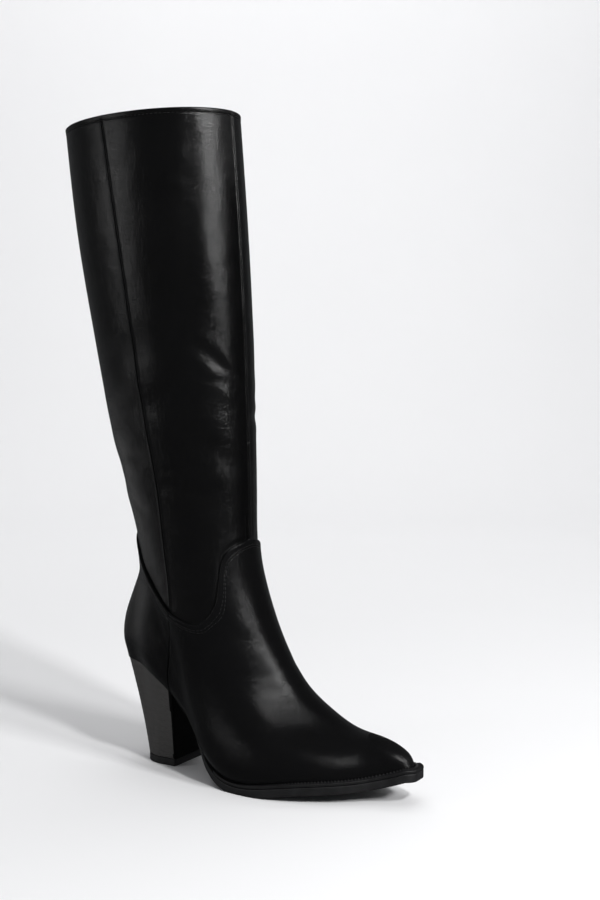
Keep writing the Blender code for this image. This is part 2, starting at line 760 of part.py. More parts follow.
def make_heel():
    """Block heel, from the sloping seat down to its flat foot."""
    foot_breast = HEEL_BREAST - HEEL_BREAST_LEAN
    top_outer = on_seat(heel_top_half(HEEL_SHARES, 1), -SEAT_GAP)
    top_inner = on_seat(heel_top_half(HEEL_SHARES, -1), -SEAT_GAP)
    base = LIFT_THICK + PIECE_GAP
    base_outer = heel_base_half(HEEL_SHARES, -1, foot_breast)
    base_inner = heel_base_half(HEEL_SHARES, 1, foot_breast)
    level = np.full((len(HEEL_SHARES), 1), base)
    base_outer = np.concatenate([base_outer, level], axis=1)
    base_inner = np.concatenate([base_inner, level], axis=1)
    points, faces = loft_solid(np.stack([top_outer, top_inner, base_inner, base_outer], axis=1))
    return make_object("heel", points, faces, (0.045, 0.045, 0.048), 0.45)


def make_heel_lift():
    """Rubber top piece that the heel stands on."""
    foot_breast = HEEL_BREAST - HEEL_BREAST_LEAN
    corners = []
    for side, z in ((-1, LIFT_THICK), (1, LIFT_THICK), (1, 0), (-1, 0)):
        plan = heel_base_half(HEEL_SHARES, side, foot_breast)
        corners.append(np.concatenate([plan, np.full((len(plan), 1), z)], axis=1))
    points, faces = loft_solid(np.stack(corners, axis=1))
    return make_object("heel_lift", points, faces, (0.03, 0.03, 0.032), 0.7)


def stand_on_origin(parts):
    """Move the whole boot so that the middle of its box is over the origin."""
    bpy.context.view_layer.update()
    corners = np.array([part.matrix_world @ vertex.co for part in parts for vertex in part.data.vertices])
    low = corners.min(axis=0)
    high = corners.max(axis=0)
    shift = Vector((-(low[0] + high[0]) / 2, -(low[1] + high[1]) / 2, -low[2]))
    for part in parts:
        if part.name == "zip_pull":
            part.location += shift
        else:
            part.data.transform(Matrix.Translation(shift))


BOOT = bpy.data.collections.new("knee_high_boot")
bpy.context.scene.collection.children.link(BOOT)
PARTS = [
    make_upper(),
    make_vamp(),
    make_counter(),
    make_insole(),
    make_welt(),
    make_outsole(),
    make_heel(),
    make_heel_lift(),
    make_zip_tape(),
    make_zip_coil(),
    make_zip_slider(),
    make_zip_pull(),
]
stand_on_origin(PARTS)
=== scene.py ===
# %% [markdown]
# # A knee-high leather boot
#
# The boot stands on its heel and the ball of the foot, with the toe and the long outer side
# toward the camera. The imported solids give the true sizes. Here each of them gets a finely
# divided surface with creases, stitches, a real zip coil and a leather finish.
#
# Every leather piece is cut from one mathematical surface, the form, in the way a maker
# pulls all the leather over one last. Once that surface is right, each piece is only
# a choice of where to cut and how far to lift the leather from it.

# %% Load the frame
import json

import bpy
import numpy as np
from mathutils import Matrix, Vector

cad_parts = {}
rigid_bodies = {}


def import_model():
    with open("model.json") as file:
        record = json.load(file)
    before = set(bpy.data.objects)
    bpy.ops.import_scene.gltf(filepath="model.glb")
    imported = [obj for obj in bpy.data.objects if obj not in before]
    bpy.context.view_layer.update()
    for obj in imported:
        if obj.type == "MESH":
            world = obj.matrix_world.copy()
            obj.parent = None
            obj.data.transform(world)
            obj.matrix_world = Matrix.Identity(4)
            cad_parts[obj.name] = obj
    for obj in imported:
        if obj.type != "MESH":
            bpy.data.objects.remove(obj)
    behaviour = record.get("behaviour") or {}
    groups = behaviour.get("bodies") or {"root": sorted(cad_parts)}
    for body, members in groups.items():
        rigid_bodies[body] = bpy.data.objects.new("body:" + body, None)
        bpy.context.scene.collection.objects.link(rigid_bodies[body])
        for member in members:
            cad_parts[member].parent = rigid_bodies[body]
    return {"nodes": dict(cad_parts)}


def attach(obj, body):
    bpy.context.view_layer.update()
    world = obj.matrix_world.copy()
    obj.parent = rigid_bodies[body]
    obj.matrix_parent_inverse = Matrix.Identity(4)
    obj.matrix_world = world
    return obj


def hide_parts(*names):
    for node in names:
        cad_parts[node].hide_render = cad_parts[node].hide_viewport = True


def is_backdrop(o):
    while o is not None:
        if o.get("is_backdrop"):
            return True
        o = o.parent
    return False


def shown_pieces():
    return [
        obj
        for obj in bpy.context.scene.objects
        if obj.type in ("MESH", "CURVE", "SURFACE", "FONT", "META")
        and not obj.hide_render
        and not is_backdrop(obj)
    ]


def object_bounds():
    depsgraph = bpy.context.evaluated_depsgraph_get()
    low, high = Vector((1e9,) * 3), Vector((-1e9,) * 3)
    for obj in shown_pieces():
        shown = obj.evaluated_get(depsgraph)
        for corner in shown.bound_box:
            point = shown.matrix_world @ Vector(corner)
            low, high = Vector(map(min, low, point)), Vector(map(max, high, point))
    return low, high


for old in list(bpy.data.objects):
    bpy.data.objects.remove(old, do_unlink=True)
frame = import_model()
CAD_LOW, CAD_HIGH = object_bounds()
print("CAD box in mm:", [round(v * 1000, 1) for v in CAD_HIGH - CAD_LOW])

# %% [markdown]
# ## Sizes of the form
#
# The tables hold shares of a few named sizes, so a longer foot or a taller shaft is one
# number. The ring table goes from the feather line, where the upper meets the sole, up to
# the collar. These are the sizes of the solids, apart from a slightly shorter toe tip.

# %% Sizes and tables
FOOT_LENGTH = 0.2456
BALL_WIDTH = 0.082
HEEL_RISE = 0.0794
TOE_RISE = 0.0235
BOOT_HEIGHT = 0.4907
COLLAR_WIDTH = 0.100
OUTWARD_LEAN = 0.0214
ARCH_DROP = 0.033
HEEL_END_RADIUS = 0.026
TOE_END_RADIUS = 0.0065
HEEL_BREAST = 0.057
FORM_ORIGIN = np.array([-0.10766, 0.01488, 0.0])

WALL = 0.0022
OVERLAY = 0.0012
OVERLAY_GAP = 0.0004
PIECE_GAP = 0.0003
SEAT_GAP = 0.0005
SLOT_HALF = 0.0038
TAPE_HALF = 0.0085
TAPE_GAP = 0.0005
SLIDER_LEVEL = 0.972

RINGS = np.array([
    # back, back_up, front, front_up, foot, leg, lean, arch
    (0.000, 0.000, 1.000, 0.000, 1.00, 0.000, 0.000, 1.00),
    (-0.003, 0.012, 0.992, 0.009, 1.05, 0.000, 0.000, 1.00),
    (-0.012, 0.032, 0.981, 0.018, 1.08, 0.010, 0.000, 1.00),
    (-0.014, 0.056, 0.955, 0.027, 1.04, 0.040, 0.000, 0.97),
    (-0.006, 0.083, 0.902, 0.036, 0.94, 0.099, 0.000, 0.91),
    (0.011, 0.112, 0.819, 0.043, 0.78, 0.196, 0.000, 0.82),
    (0.031, 0.141, 0.720, 0.066, 0.58, 0.334, 0.000, 0.67),
    (0.052, 0.168, 0.634, 0.099, 0.38, 0.478, 0.062, 0.48),
    (0.062, 0.194, 0.566, 0.151, 0.21, 0.616, 0.164, 0.30),
    (0.062, 0.237, 0.510, 0.218, 0.08, 0.719, 0.265, 0.15),
    (0.055, 0.274, 0.473, 0.289, 0.02, 0.777, 0.348, 0.06),
    (0.025, 0.335, 0.462, 0.378, 0.00, 0.834, 0.374, 0.00),
    (-0.024, 0.444, 0.461, 0.495, 0.00, 0.904, 0.436, 0.00),
    (-0.070, 0.597, 0.459, 0.641, 0.00, 0.973, 0.572, 0.00),
    (-0.117, 0.779, 0.453, 0.817, 0.00, 1.012, 0.791, 0.00),
    (-0.151, 0.985, 0.439, 1.000, 0.00, 1.001, 1.002, 0.00),
])
OUTLINE = np.array([
    # along the foot, outer half width, inner half width
    (0.06, 0.224, 0.232),
    (0.14, 0.333, 0.305),
    (0.27, 0.363, 0.287),
    (0.42, 0.498, 0.262),
    (0.55, 0.575, 0.360),
    (0.65, 0.552, 0.445),
    (0.75, 0.461, 0.421),
    (0.86, 0.283, 0.256),
    (0.95, 0.130, 0.128),
])
ARCH = np.array([
    # along the foot, drop below the straight line from heel to toe
    (0.00, 0.00),
    (0.12, -0.08),
    (0.25, 0.28),
    (0.40, 1.23),
    (0.55, 1.30),
    (0.66, 1.00),
    (0.78, 0.69),
    (0.90, 0.385),
    (1.00, 0.00),
])
TOPLINE = np.array([
    # degrees round from the back, level of the top edge of vamp and counter
    (0, 0.304),
    (16, 0.296),
    (31, 0.277),
    (45, 0.248),
    (60, 0.229),
    (75, 0.234),
    (90, 0.242),
    (106, 0.248),
    (117, 0.265),
    (126, 0.285),
    (133, 0.309),
    (141, 0.339),
    (151, 0.357),
    (165, 0.366),
    (180, 0.370),
])
SIDE_SEAMS = np.array([
    # level, degrees forward of the heel's breast: outer seam, inner seam
    (0.00, 0.0, 2.5),
    (0.08, 4.5, 11.5),
    (0.16, 10.5, 19.0),
    (0.24, 23.0, 24.5),
    (0.32, 30.5, 28.5),
    (0.42, 34.0, 31.0),
    (0.55, 32.5, 33.0),
    (0.75, 31.0, 34.0),
    (1.00, 26.0, 33.0),
])

# %% [markdown]
# ## The form
#
# A last has no simple formula, but two readings of it do: the outline of the foot seen from
# above, and the two edge lines of the boot seen from the side. `form(turn, level)` mixes
# them. Going round, the point moves from the back line to the front line by
# (1 - cos turn) / 2, and sideways by sin turn times the half width there.
#
# Smooth cubic curves join the rows of the tables, so leather highlights flow without a kink.

# %% The form as a function


def spline(keys, values, at):
    """Natural cubic curve: pieces a*t^3 + b*t^2 + c*t + d that share slope and bend."""
    keys = np.asarray(keys, float)
    values = np.asarray(values, float)
    at = np.asarray(at, float)
    step = np.diff(keys)
    slope = np.diff(values, axis=0) / step.reshape((-1,) + (1,) * (values.ndim - 1))
    system = np.eye(len(keys))
    right = np.zeros_like(values)
    for i in range(1, len(keys) - 1):
        system[i, i - 1:i + 2] = step[i - 1], 2 * (step[i - 1] + step[i]), step[i]
        right[i] = 6 * (slope[i] - slope[i - 1])
    bend = np.linalg.solve(system, right)
    i = np.clip(np.searchsorted(keys, at, side="right") - 1, 0, len(keys) - 2)
    after = at - keys[i]
    width = step[i]
    if values.ndim > 1:
        after = after[..., None]
        width = width[..., None]
    before = width - after
    curved = (bend[i] * before ** 3 + bend[i + 1] * after ** 3) / (6 * width)
    low = (values[i] / width - bend[i] * width / 6) * before
    high = (values[i + 1] / width - bend[i + 1] * width / 6) * after
    return curved + low + high


def ring_sizes():
    sizes = RINGS.copy()
    sizes[:, 0] *= FOOT_LENGTH
    sizes[:, 1] = HEEL_RISE + sizes[:, 1] * (BOOT_HEIGHT - HEEL_RISE)
    sizes[:, 2] *= FOOT_LENGTH
    sizes[:, 3] = TOE_RISE + sizes[:, 3] * (BOOT_HEIGHT - TOE_RISE)
    sizes[:, 5] *= COLLAR_WIDTH / 2
    sizes[:, 6] *= -OUTWARD_LEAN
    sizes[:, 7] *= ARCH_DROP
    return sizes


RING_SIZES = ring_sizes()
RING_STEPS = sum(np.hypot(*np.diff(RING_SIZES[:, k:k + 2], axis=0).T) for k in (0, 2))
RING_LEVELS = np.concatenate([[0], np.cumsum(RING_STEPS)]) / RING_STEPS.sum()


def roundness(along, column):
    """Half width over that of a circle, 2 * sqrt(t * (1 - t)), so both ends stay round."""
    shares = OUTLINE[:, 0]
    inside = OUTLINE[:, column] * BALL_WIDTH / (2 * np.sqrt(shares * (1 - shares)))
    heel_end = np.sqrt(HEEL_END_RADIUS * FOOT_LENGTH / 2)
    toe_end = np.sqrt(TOE_END_RADIUS * FOOT_LENGTH / 2)
    keys = np.concatenate([[0], shares, [1]])
    return spline(keys, np.concatenate([[heel_end], inside, [toe_end]]), along)


def form(turn, level):
    """Point of the form. turn: 0 back, pi front, the outer side first. level: 0 to 1."""
    turn, level = np.broadcast_arrays(np.asarray(turn, float), np.asarray(level, float))
    sizes = spline(RING_LEVELS, RING_SIZES, level)
    back_x, back_z, front_x, front_z, foot, leg, lean, arch = np.moveaxis(sizes, -1, 0)
    along = (1 - np.cos(turn)) / 2
    outer = np.sin(turn) >= 0
    round_half = np.where(outer, roundness(along, 1), roundness(along, 2))
    half = np.abs(np.sin(turn)) * (foot * round_half + leg)
    x = back_x + (front_x - back_x) * along
    y = np.where(outer, -half, half) + lean
    z = back_z + (front_z - back_z) * along - arch * spline(ARCH[:, 0], ARCH[:, 1], along)
    return np.stack([x, y, z], -1)


def unit(vectors):
    return vectors / np.linalg.norm(vectors, axis=-1, keepdims=True)


def form_slopes(turn, level):
    """Change of the form per radian of turn and per unit of level."""
    small = 1e-4
    high = np.minimum(level + small, 1)
    low = np.maximum(level - small, 0)
    across = (form(turn + small, level) - form(turn - small, level)) / (2 * small)
    upward = (form(turn, high) - form(turn, low)) / (high - low)[..., None]
    return across, upward


def seat_height(x):
    """Height of the feather line over x, level past both ends."""
    along = np.clip(np.asarray(x, float) / FOOT_LENGTH, 0, 1)
    z = HEEL_RISE + (TOE_RISE - HEEL_RISE) * along
    return z - ARCH_DROP * spline(ARCH[:, 0], ARCH[:, 1], along)


def turn_of(along):
    """Turn of the point of the feather line at a share of the foot's length."""
    return np.arccos(1 - 2 * np.asarray(along, float))


def turn_at(place, slip, level):
    """Turn of a line up the leather: place in quarter turns, slip in metres beside it.

    Places: 0 back, 1 outer seam, 2 front, 3 zip, 4 back again.
    """
    seams = np.radians(spline(SIDE_SEAMS[:, 0], SIDE_SEAMS[:, 1:], level))
    seams = seams + turn_of(HEEL_BREAST / FOOT_LENGTH)
    round_place = np.mod(place, 4)
    knots = [0 * level, seams[..., 0], 0 * level + np.pi]
    knots += [2 * np.pi - seams[..., 1], 0 * level + 2 * np.pi]
    quarter = np.minimum(np.floor(round_place), 3).astype(int)
    start = np.choose(quarter, knots[:4])
    end = np.choose(quarter, knots[1:])
    turn = start + (end - start) * (round_place - quarter)
    turn = turn + 2 * np.pi * (place - round_place) / 4
    across, _ = form_slopes(turn, level)
    return turn + slip / np.linalg.norm(across, axis=-1)


def topline(turn):
    """Level of the top edge of vamp and counter."""
    fold = np.degrees(np.mod(turn, 2 * np.pi))
    fold = np.minimum(fold, 360 - fold)
    return spline(TOPLINE[:, 0], TOPLINE[:, 1], fold)


def topline_reach(turn, level):
    """Metres per unit of level, measured square to the topline."""
    small = 1e-3
    across, upward = form_slopes(turn, level)
    rise = np.linalg.norm(upward, axis=-1)
    slant = (topline(turn + small) - topline(turn - small)) / (2 * small)
    slant = slant * rise / np.linalg.norm(across, axis=-1)
    return rise / np.sqrt(1 + slant ** 2)


toe_point = form(np.pi, 0.0) + FORM_ORIGIN
print("toe of the feather line in mm:", (toe_point * 1000).round(1))

# %% [markdown]
# ## Creases placed one by one
#
# Worn-in leather folds where the ankle and the instep bend, and the folds are soft: a trough
# with a slightly raised lip on both sides. Each row of the table is one fold, placed by its
# angle round the leg and its level. Across the fold the depth follows
# -(1 - q^2) * exp(-q^2 / 1.4), with q the distance over the half width. Along the fold it
# fades out by exp(-(distance / length)^4), so folds end without a step, and a sine added to
# q bends it a little, as no fold is a straight line.
#
# Random noise alone would look like crumpled foil. A few deliberate folds look like leather.

# %% Creases
CREASES = np.array([
    # degrees, level, tilt in degrees, length, half width, depth in metres
    (152, 0.622, -34, 0.022, 0.0062, 0.00070),
    (160, 0.590, -18, 0.015, 0.0048, 0.00045),
    (116, 0.432, 6, 0.020, 0.0058, 0.00065),
    (104, 0.455, 22, 0.016, 0.0052, 0.00030),
    (104, 0.500, -28, 0.018, 0.0060, 0.00028),
    (58, 0.470, 20, 0.026, 0.0095, 0.00090),
    (50, 0.400, -14, 0.024, 0.0085, 0.00085),
    (30, 0.440, 8, 0.030, 0.0095, 0.00080),
    (100, 0.560, 24, 0.032, 0.0130, 0.00060),
    (140, 0.500, -20, 0.030, 0.0120, 0.00050),
    (85, 0.640, 30, 0.040, 0.0150, 0.00050),
    (120, 0.760, -58, 0.060, 0.0190, 0.00050),
    (160, 0.860, -80, 0.050, 0.0150, 0.00030),
    (224, 0.590, 38, 0.022, 0.0060, 0.00080),
    (211, 0.541, 8, 0.024, 0.0060, 0.00070),
    (236, 0.660, 60, 0.036, 0.0130, 0.00060),
    (250, 0.450, -16, 0.026, 0.0085, 0.00070),
    (305, 0.450, 12, 0.028, 0.0095, 0.00085),
    (320, 0.390, -10, 0.024, 0.0075, 0.00070),
    (345, 0.560, 30, 0.036, 0.0140, 0.00060),
    (165, 0.205, 12, 0.020, 0.0055, 0.00016),
    (196, 0.215, -12, 0.020, 0.0055, 0.00016),
    (150, 0.245, 20, 0.018, 0.0090, 0.00014),
    (137, 0.840, 88, 0.060, 0.0100, 0.00040),
    (128, 0.700, 80, 0.040, 0.0120, 0.00035),
])


def relief(turn, level):
    """Height of all folds together at a point of the leather, in metres."""
    height = np.zeros(np.broadcast(turn, level).shape)
    for degrees, at_level, tilt, length, half, depth in CREASES:
        centre = np.radians(degrees)
        across, upward = form_slopes(np.array(centre), np.array(at_level))
        side = np.mod(turn - centre + np.pi, 2 * np.pi) - np.pi
        side = side * np.linalg.norm(across)
        rise = (level - at_level) * np.linalg.norm(upward)
        slope = np.radians(tilt)
        along = side * np.cos(slope) + rise * np.sin(slope)
        q = (rise * np.cos(slope) - side * np.sin(slope)) / half
        q = q + 0.35 * np.sin(along / length * 2.2)
        fade = np.exp(-(along / length) ** 4)
        height = height - depth * (1 - q ** 2) * np.exp(-q ** 2 / 1.4) * fade
    return height


print("folds:", len(CREASES))

# %% [markdown]
# ## From function to mesh
#
# A surface is a function of two parameters, so its mesh is a plain grid of quads. Numpy
# works out all points at once and Blender only receives the finished lists.
#
# Leather is lifted from the form along the surface's own normal, the cross product of its
# two slopes. Near the feather line the normal is held level, as the sole is in the way below.
#
# `groove` is the one recipe for all soft channels and lips, exp(-(distance / half)^2).

# %% Grid meshes


def grid_quads(columns, rows, wrap=False):
    """Corner numbers of the quads of a grid; wrap joins the last column to the first."""
    index = np.arange(columns * rows).reshape(columns, rows)
    if wrap:
        index = np.concatenate([index, index[:1]])
    corners = [index[:-1, :-1], index[1:, :-1], index[1:, 1:], index[:-1, 1:]]
    return np.stack(corners, -1).reshape(-1, 4)


def mesh_object(name, points, faces, slot, smooth=True):
    """Blender object from arrays, in the shared frame, that rides on the boot."""
    mesh = bpy.data.meshes.new(name)
    mesh.from_pydata((points + FORM_ORIGIN).tolist(), [], np.asarray(faces).tolist())
    mesh.polygons.foreach_set("use_smooth", np.full(len(mesh.polygons), smooth))
    mesh.update()
    made = bpy.data.objects.new(name, mesh)
    bpy.context.scene.collection.objects.link(made)
    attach(made, "boot")
    print(name, len(mesh.polygons), "faces")
    return made


def grid_object(name, points, slot, wrap=False):
    """Object from points[column, row, xyz]."""
    columns, rows = points.shape[:2]
    quads = grid_quads(columns, rows, wrap)
    return mesh_object(name, points.reshape(-1, 3), quads, slot)


def normals(turn, level):
    """Outward normal of the form, level with the floor near the feather line."""
    across, upward = form_slopes(turn, level)
    normal = unit(np.cross(across, upward))
    flat = unit(normal * np.array([1, 1, 0]))
    share = np.clip(level / 0.012, 0, 1)[..., None]
    return unit(flat + (normal - flat) * share)


def lifted(turn, level, lift):
    """Points at a distance outside the form, never below the seat."""
    points = form(turn, level) + normals(turn, level) * lift[..., None]
    points[..., 2] = np.maximum(points[..., 2], seat_height(points[..., 0]))
    return points


def rounded_edge(distance, radius):
    """Quarter circle: 0 at the edge and 1 from one radius on."""
    q = 1 - np.clip(distance / radius, 0, 1)
    return np.sqrt(np.maximum(1 - q ** 2, 0))


def groove(distance, half):
    """Soft channel, 1 in its middle."""
    return np.exp(-(distance / half) ** 2)


def beside(turn, level, place, slip=0.0):
    """Signed distance in metres from a line up the leather."""
    line = turn_at(np.full(level.shape, place), slip, level)
    across, _ = form_slopes(turn, level)
    return (turn - line) * np.linalg.norm(across, axis=-1)


def near_and_far(near, far, step, count):
    """Distances from an edge: close steps up to near, then evenly to far."""
    return np.concatenate([np.arange(0, near, step), np.linspace(near, far, count)])


# %% [markdown]
# ## The shaft
#
# The shaft is two leather panels, closed by a seam down the outer side and one down the
# front, with the zip on the inner side. Each seam is a narrow channel between two slightly
# raised lips, because the allowance behind it pushes the leather up, and one of the lips is
# a little higher, where the seam leans. The collar's edge is folded over and stitched. Just
# above the topline the shaft sinks a little, where vamp and counter press on it.
#
# The grid has close columns only where a seam or an edge needs them.

# %% Shaft
SEAM_COLUMNS = np.concatenate([np.linspace(-0.0045, -0.0014, 6), np.linspace(-0.0011, 0.0011, 11),
                               np.linspace(0.0014, 0.0045, 6)])
EDGE_COLUMNS = np.array([0.0, 0.0002, 0.0005, 0.0009, 0.0014, 0.0017, 0.0020, 0.0023, 0.0026, 0.0032])
SHAFT_SEAMS = (
    # place, height of the soft lips, slip of the higher lip
    (5, 0.00035, 0.0010),
    (6, 0.00045, -0.0010),
)
ZIP_STITCH = 0.0020
COLLAR_STITCH = 0.0042
COLLAR_SCALE = 0.53  # turns metres below the collar into levels, a little close on purpose
TUCK = 0.02  # levels of shaft that are hidden under vamp and counter


def shaft_columns():
    """(place, slip) of the shaft's columns, from the zip round the back to the zip again."""
    columns = [(3, SLOT_HALF + d) for d in EDGE_COLUMNS]
    columns += [(3 + p, 0) for p in np.linspace(0.09, 1.94, 104)]
    columns += [(5, s) for s in SEAM_COLUMNS]
    columns += [(5 + p, 0) for p in np.linspace(0.07, 0.93, 68)]
    columns += [(6, s) for s in SEAM_COLUMNS]
    columns += [(6 + p, 0) for p in np.linspace(0.07, 0.91, 66)]
    columns += [(7, -SLOT_HALF - d) for d in EDGE_COLUMNS[::-1]]
    return columns


def shaft_lift(turn, level, cut):
    """Lift of the shaft's outer face: seams, stitched channels, folds and rolled edges."""
    lift = relief(turn, level)
    for place, lip, ridge in SHAFT_SEAMS:
        side = beside(turn, level, place)
        lift = lift + lip * groove(side, 0.0016) - (0.0006 + lip) * groove(side, 0.00045)
        lift = lift + 0.00025 * groove(side - ridge, 0.0005)
    above = (level - topline(turn)) * topline_reach(turn, level)
    lift = lift - 0.00060 * groove(above - 0.0006, 0.0014)
    _, upward = form_slopes(turn, level)
    below_collar = (1 - level) * np.linalg.norm(upward, axis=-1)
    lift = lift - 0.00022 * groove(below_collar - COLLAR_STITCH, 0.0006)
    lift = lift + 0.00025 * groove(below_collar - 0.0016, 0.0016)
    lift = lift - 0.00028 * groove(cut - ZIP_STITCH, 0.0005)
    edge = np.minimum(cut, below_collar)
    return lift - WALL * (1 - rounded_edge(edge, 0.0012))


def make_shaft():
    """Outer face: form + normal * lift, from under the topline to the collar."""
    columns = shaft_columns()
    place = np.array([c[0] for c in columns], float)[:, None]
    slip = np.array([c[1] for c in columns], float)[:, None]
    foot = np.full((len(columns), 1), 0.3)
    for _ in range(8):
        foot = 0.5 * (foot + topline(turn_at(place, slip, foot)))
    foot = foot - TUCK
    collar = 1 - near_and_far(0.007, 0.012, 0.00035, 4)[::-1] / COLLAR_SCALE
    shares = np.linspace(0, 1, 250)[:-1]
    level = np.concatenate([foot + (collar[0] - foot) * shares, np.tile(collar, (len(columns), 1))], 1)
    turn = turn_at(np.broadcast_to(place, level.shape), slip, level)
    cut = np.minimum(beside(turn, level, 3.0, SLOT_HALF), -beside(turn, level, 7.0, -SLOT_HALF))
    points = lifted(turn, level, shaft_lift(turn, level, np.maximum(cut, 0)))
    shaft = grid_object("shaft_leather", points, "shaft_leather")
    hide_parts("upper")
    return shaft


def make_lining():
    """Inner face of the whole upper, one wall thickness inside the form; the slot closes low."""
    columns, rows = 170, 150
    level = np.broadcast_to(np.linspace(0.0, 1.0, rows)[None, :], (columns, rows))
    place = np.linspace(3, 7, columns)[:, None]
    slip = np.linspace(SLOT_HALF, -SLOT_HALF, columns)[:, None]
    slip = slip * np.clip((level - 0.13) / 0.02, 0, 1)
    turn = turn_at(np.broadcast_to(place, level.shape), slip, level)
    points = lifted(turn, level, relief(turn, level) - WALL)
    return grid_object("lining", points[::-1], "shaft_leather")


shaft = make_shaft()
lining = make_lining()

# %% [markdown]
# ## Vamp and counter
#
# The vamp covers the foot and rises to a dome in front. The counter wraps the heel. Both
# are laid over the shaft, so their top edge is a step of one leather thickness. A cut
# leather edge is never sharp: it is turned under, and the lift follows a quarter circle
# over the last millimetre. Two rows of stitches sit in soft channels just inside the edge.
#
# The distance to the slanted edge is the rise to the topline times the cosine of its slant.

# %% Vamp and counter
TOP_STITCHES = (0.0042, 0.0058)
ZIP_FOOT_LEVEL = 0.115
TOP_ROWS = near_and_far(0.0070, 0.0120, 0.0003, 6)


def zip_opening(level):
    """Half width of the opening for the zip, closing with a round end at its foot."""
    share = np.sqrt(np.clip((level - ZIP_FOOT_LEVEL) / 0.012, 0, 1))
    return PIECE_GAP / 2 + (SLOT_HALF - PIECE_GAP / 2) * share


def overlay_grid(columns):
    """Turns and levels of an overlay; a column is (place, distance from its edge, side)."""
    place, inside, side = (np.array(c, float)[:, None] for c in zip(*columns))
    at_zip = np.mod(place, 4) == 3
    top = np.full(place.shape, 0.3)
    for _ in range(12):
        opening = np.where(at_zip, zip_opening(top), PIECE_GAP / 2)
        slip = side * (opening + inside)
        top = 0.5 * (top + topline(turn_at(place, slip, top)))
    reach = topline_reach(turn_at(place, slip, top), top)
    near = top - TOP_ROWS[None, ::-1] / reach
    shares = np.linspace(0, 1, 150)[:-1] ** 1.15
    level = np.concatenate([near[:, :1] * shares, near], axis=1)
    opening = np.where(at_zip, zip_opening(level), PIECE_GAP / 2)
    turn = turn_at(np.broadcast_to(place, level.shape), side * (opening + inside), level)
    return turn, level


def overlay_lift(turn, level, seam_distance, zip_distance):
    """Lift of an overlay's outer face with its turned edges and stitched channels."""
    to_top = np.maximum(topline(turn) - level, 0) * topline_reach(turn, level)
    lift = np.full(turn.shape, OVERLAY_GAP + OVERLAY) + relief(turn, level)
    for distance in TOP_STITCHES:
        lift = lift - 0.00010 * groove(to_top - distance, 0.0005)
    lift = lift + 0.00025 * groove(to_top - 0.0012, 0.0010)
    lift = lift - 0.00024 * groove(zip_distance - ZIP_STITCH, 0.0005)
    edge = np.minimum(np.minimum(to_top, seam_distance), zip_distance)
    return lift - (OVERLAY_GAP + OVERLAY) * (1 - rounded_edge(edge, 0.0010))


def overlay_object(name, columns, first, last):
    """Overlay between two edge lines; first and last are (place, side of the edge)."""
    turn, level = overlay_grid(columns)
    distances = {}
    for place, side in (first, last):
        at_zip = place == 3
        opening = zip_opening(level) if at_zip else PIECE_GAP / 2
        distances[at_zip] = side * beside(turn, level, place, side * opening)
    lift = overlay_lift(turn, level, np.maximum(distances[False], 0), np.maximum(distances[True], 0))
    overlay = grid_object(name, lifted(turn, level, lift), "foot_leather")
    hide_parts(name.split("_")[0])
    return overlay


def make_vamp():
    """Leather from the outer seam over the front to the zip."""
    columns = [(1, d, 1) for d in EDGE_COLUMNS]
    columns += [(p, 0, 0) for p in np.linspace(1.07, 2.90, 190)]
    columns += [(3, d, -1) for d in EDGE_COLUMNS[::-1]]
    return overlay_object("vamp_leather", columns, (1, 1), (3, -1))


def make_counter():
    """Leather from the zip round the heel to the outer seam."""
    columns = [(3, d, 1) for d in EDGE_COLUMNS]
    columns += [(p, 0, 0) for p in np.linspace(3.08, 4.92, 120)]
    columns += [(5, d, -1) for d in EDGE_COLUMNS[::-1]]
    return overlay_object("counter_leather", columns, (3, 1), (5, -1))


vamp = make_vamp()
counter = make_counter()

# %% [markdown]
# ## Stitches and zip teeth
#
# A stitch is a short thread that dives into the leather at both ends, so it is modelled as a
# slim capsule: radius r * sqrt(1 - t^4) along its length. All stitches of the boot are one
# mesh. Numpy places copies of one capsule at even steps along each seam's path and turns
# them to the path's direction.
#
# The zip's coil works the same way, with thicker capsules laid across the tape. They are
# set alternately a little left and right, as the two halves of the coil interlock.

# %% Capsules along a path


def even_steps(path, pitch):
    """Centres and directions at even steps along a fine path of points."""
    steps = np.linalg.norm(np.diff(path, axis=0), axis=1)
    length = np.concatenate([[0], np.cumsum(steps)])
    at = np.arange(pitch / 2, length[-1], pitch)
    centre = np.stack([np.interp(at, length, path[:, k]) for k in range(3)], -1)
    ahead = np.stack([np.interp(at + 1e-4, length, path[:, k]) for k in range(3)], -1)
    behind = np.stack([np.interp(at - 1e-4, length, path[:, k]) for k in range(3)], -1)
    return at / length[-1], centre, unit(ahead - behind)


def capsules(centre, along, outward, half_length, radius, rings=6, sides=6):
    """Points and faces of capsules: centre + t*half*along + radius*sqrt(1-t^4)*(side, out)."""
    side = unit(np.cross(along, outward))
    outward = np.cross(side, along)
    t = np.linspace(-0.995, 0.995, rings)
    angle = np.linspace(0, 2 * np.pi, sides, endpoint=False)
    thick = radius * np.sqrt(1 - t ** 4)
    a = (half_length * t)[None, :, None, None] * along[:, None, None, :]
    b = (thick[:, None] * np.cos(angle))[None, :, :, None] * side[:, None, None, :]
    c = (thick[:, None] * np.sin(angle))[None, :, :, None] * outward[:, None, None, :]
    points = centre[:, None, None, :] + a + b + c
    one = grid_quads(sides, rings, wrap=True)
    ring_first = one % rings * sides + one // rings
    offsets = np.arange(len(centre))[:, None, None] * rings * sides
    return points.reshape(-1, 3), (ring_first[None, :, ::-1] + offsets).reshape(-1, 4)


def joined(pieces):
    """One list of points and faces from several."""
    points, faces, start = [], [], 0
    for piece_points, piece_faces in pieces:
        points.append(piece_points)
        faces.append(piece_faces + start)
        start += len(piece_points)
    return np.concatenate(points), np.concatenate(faces)


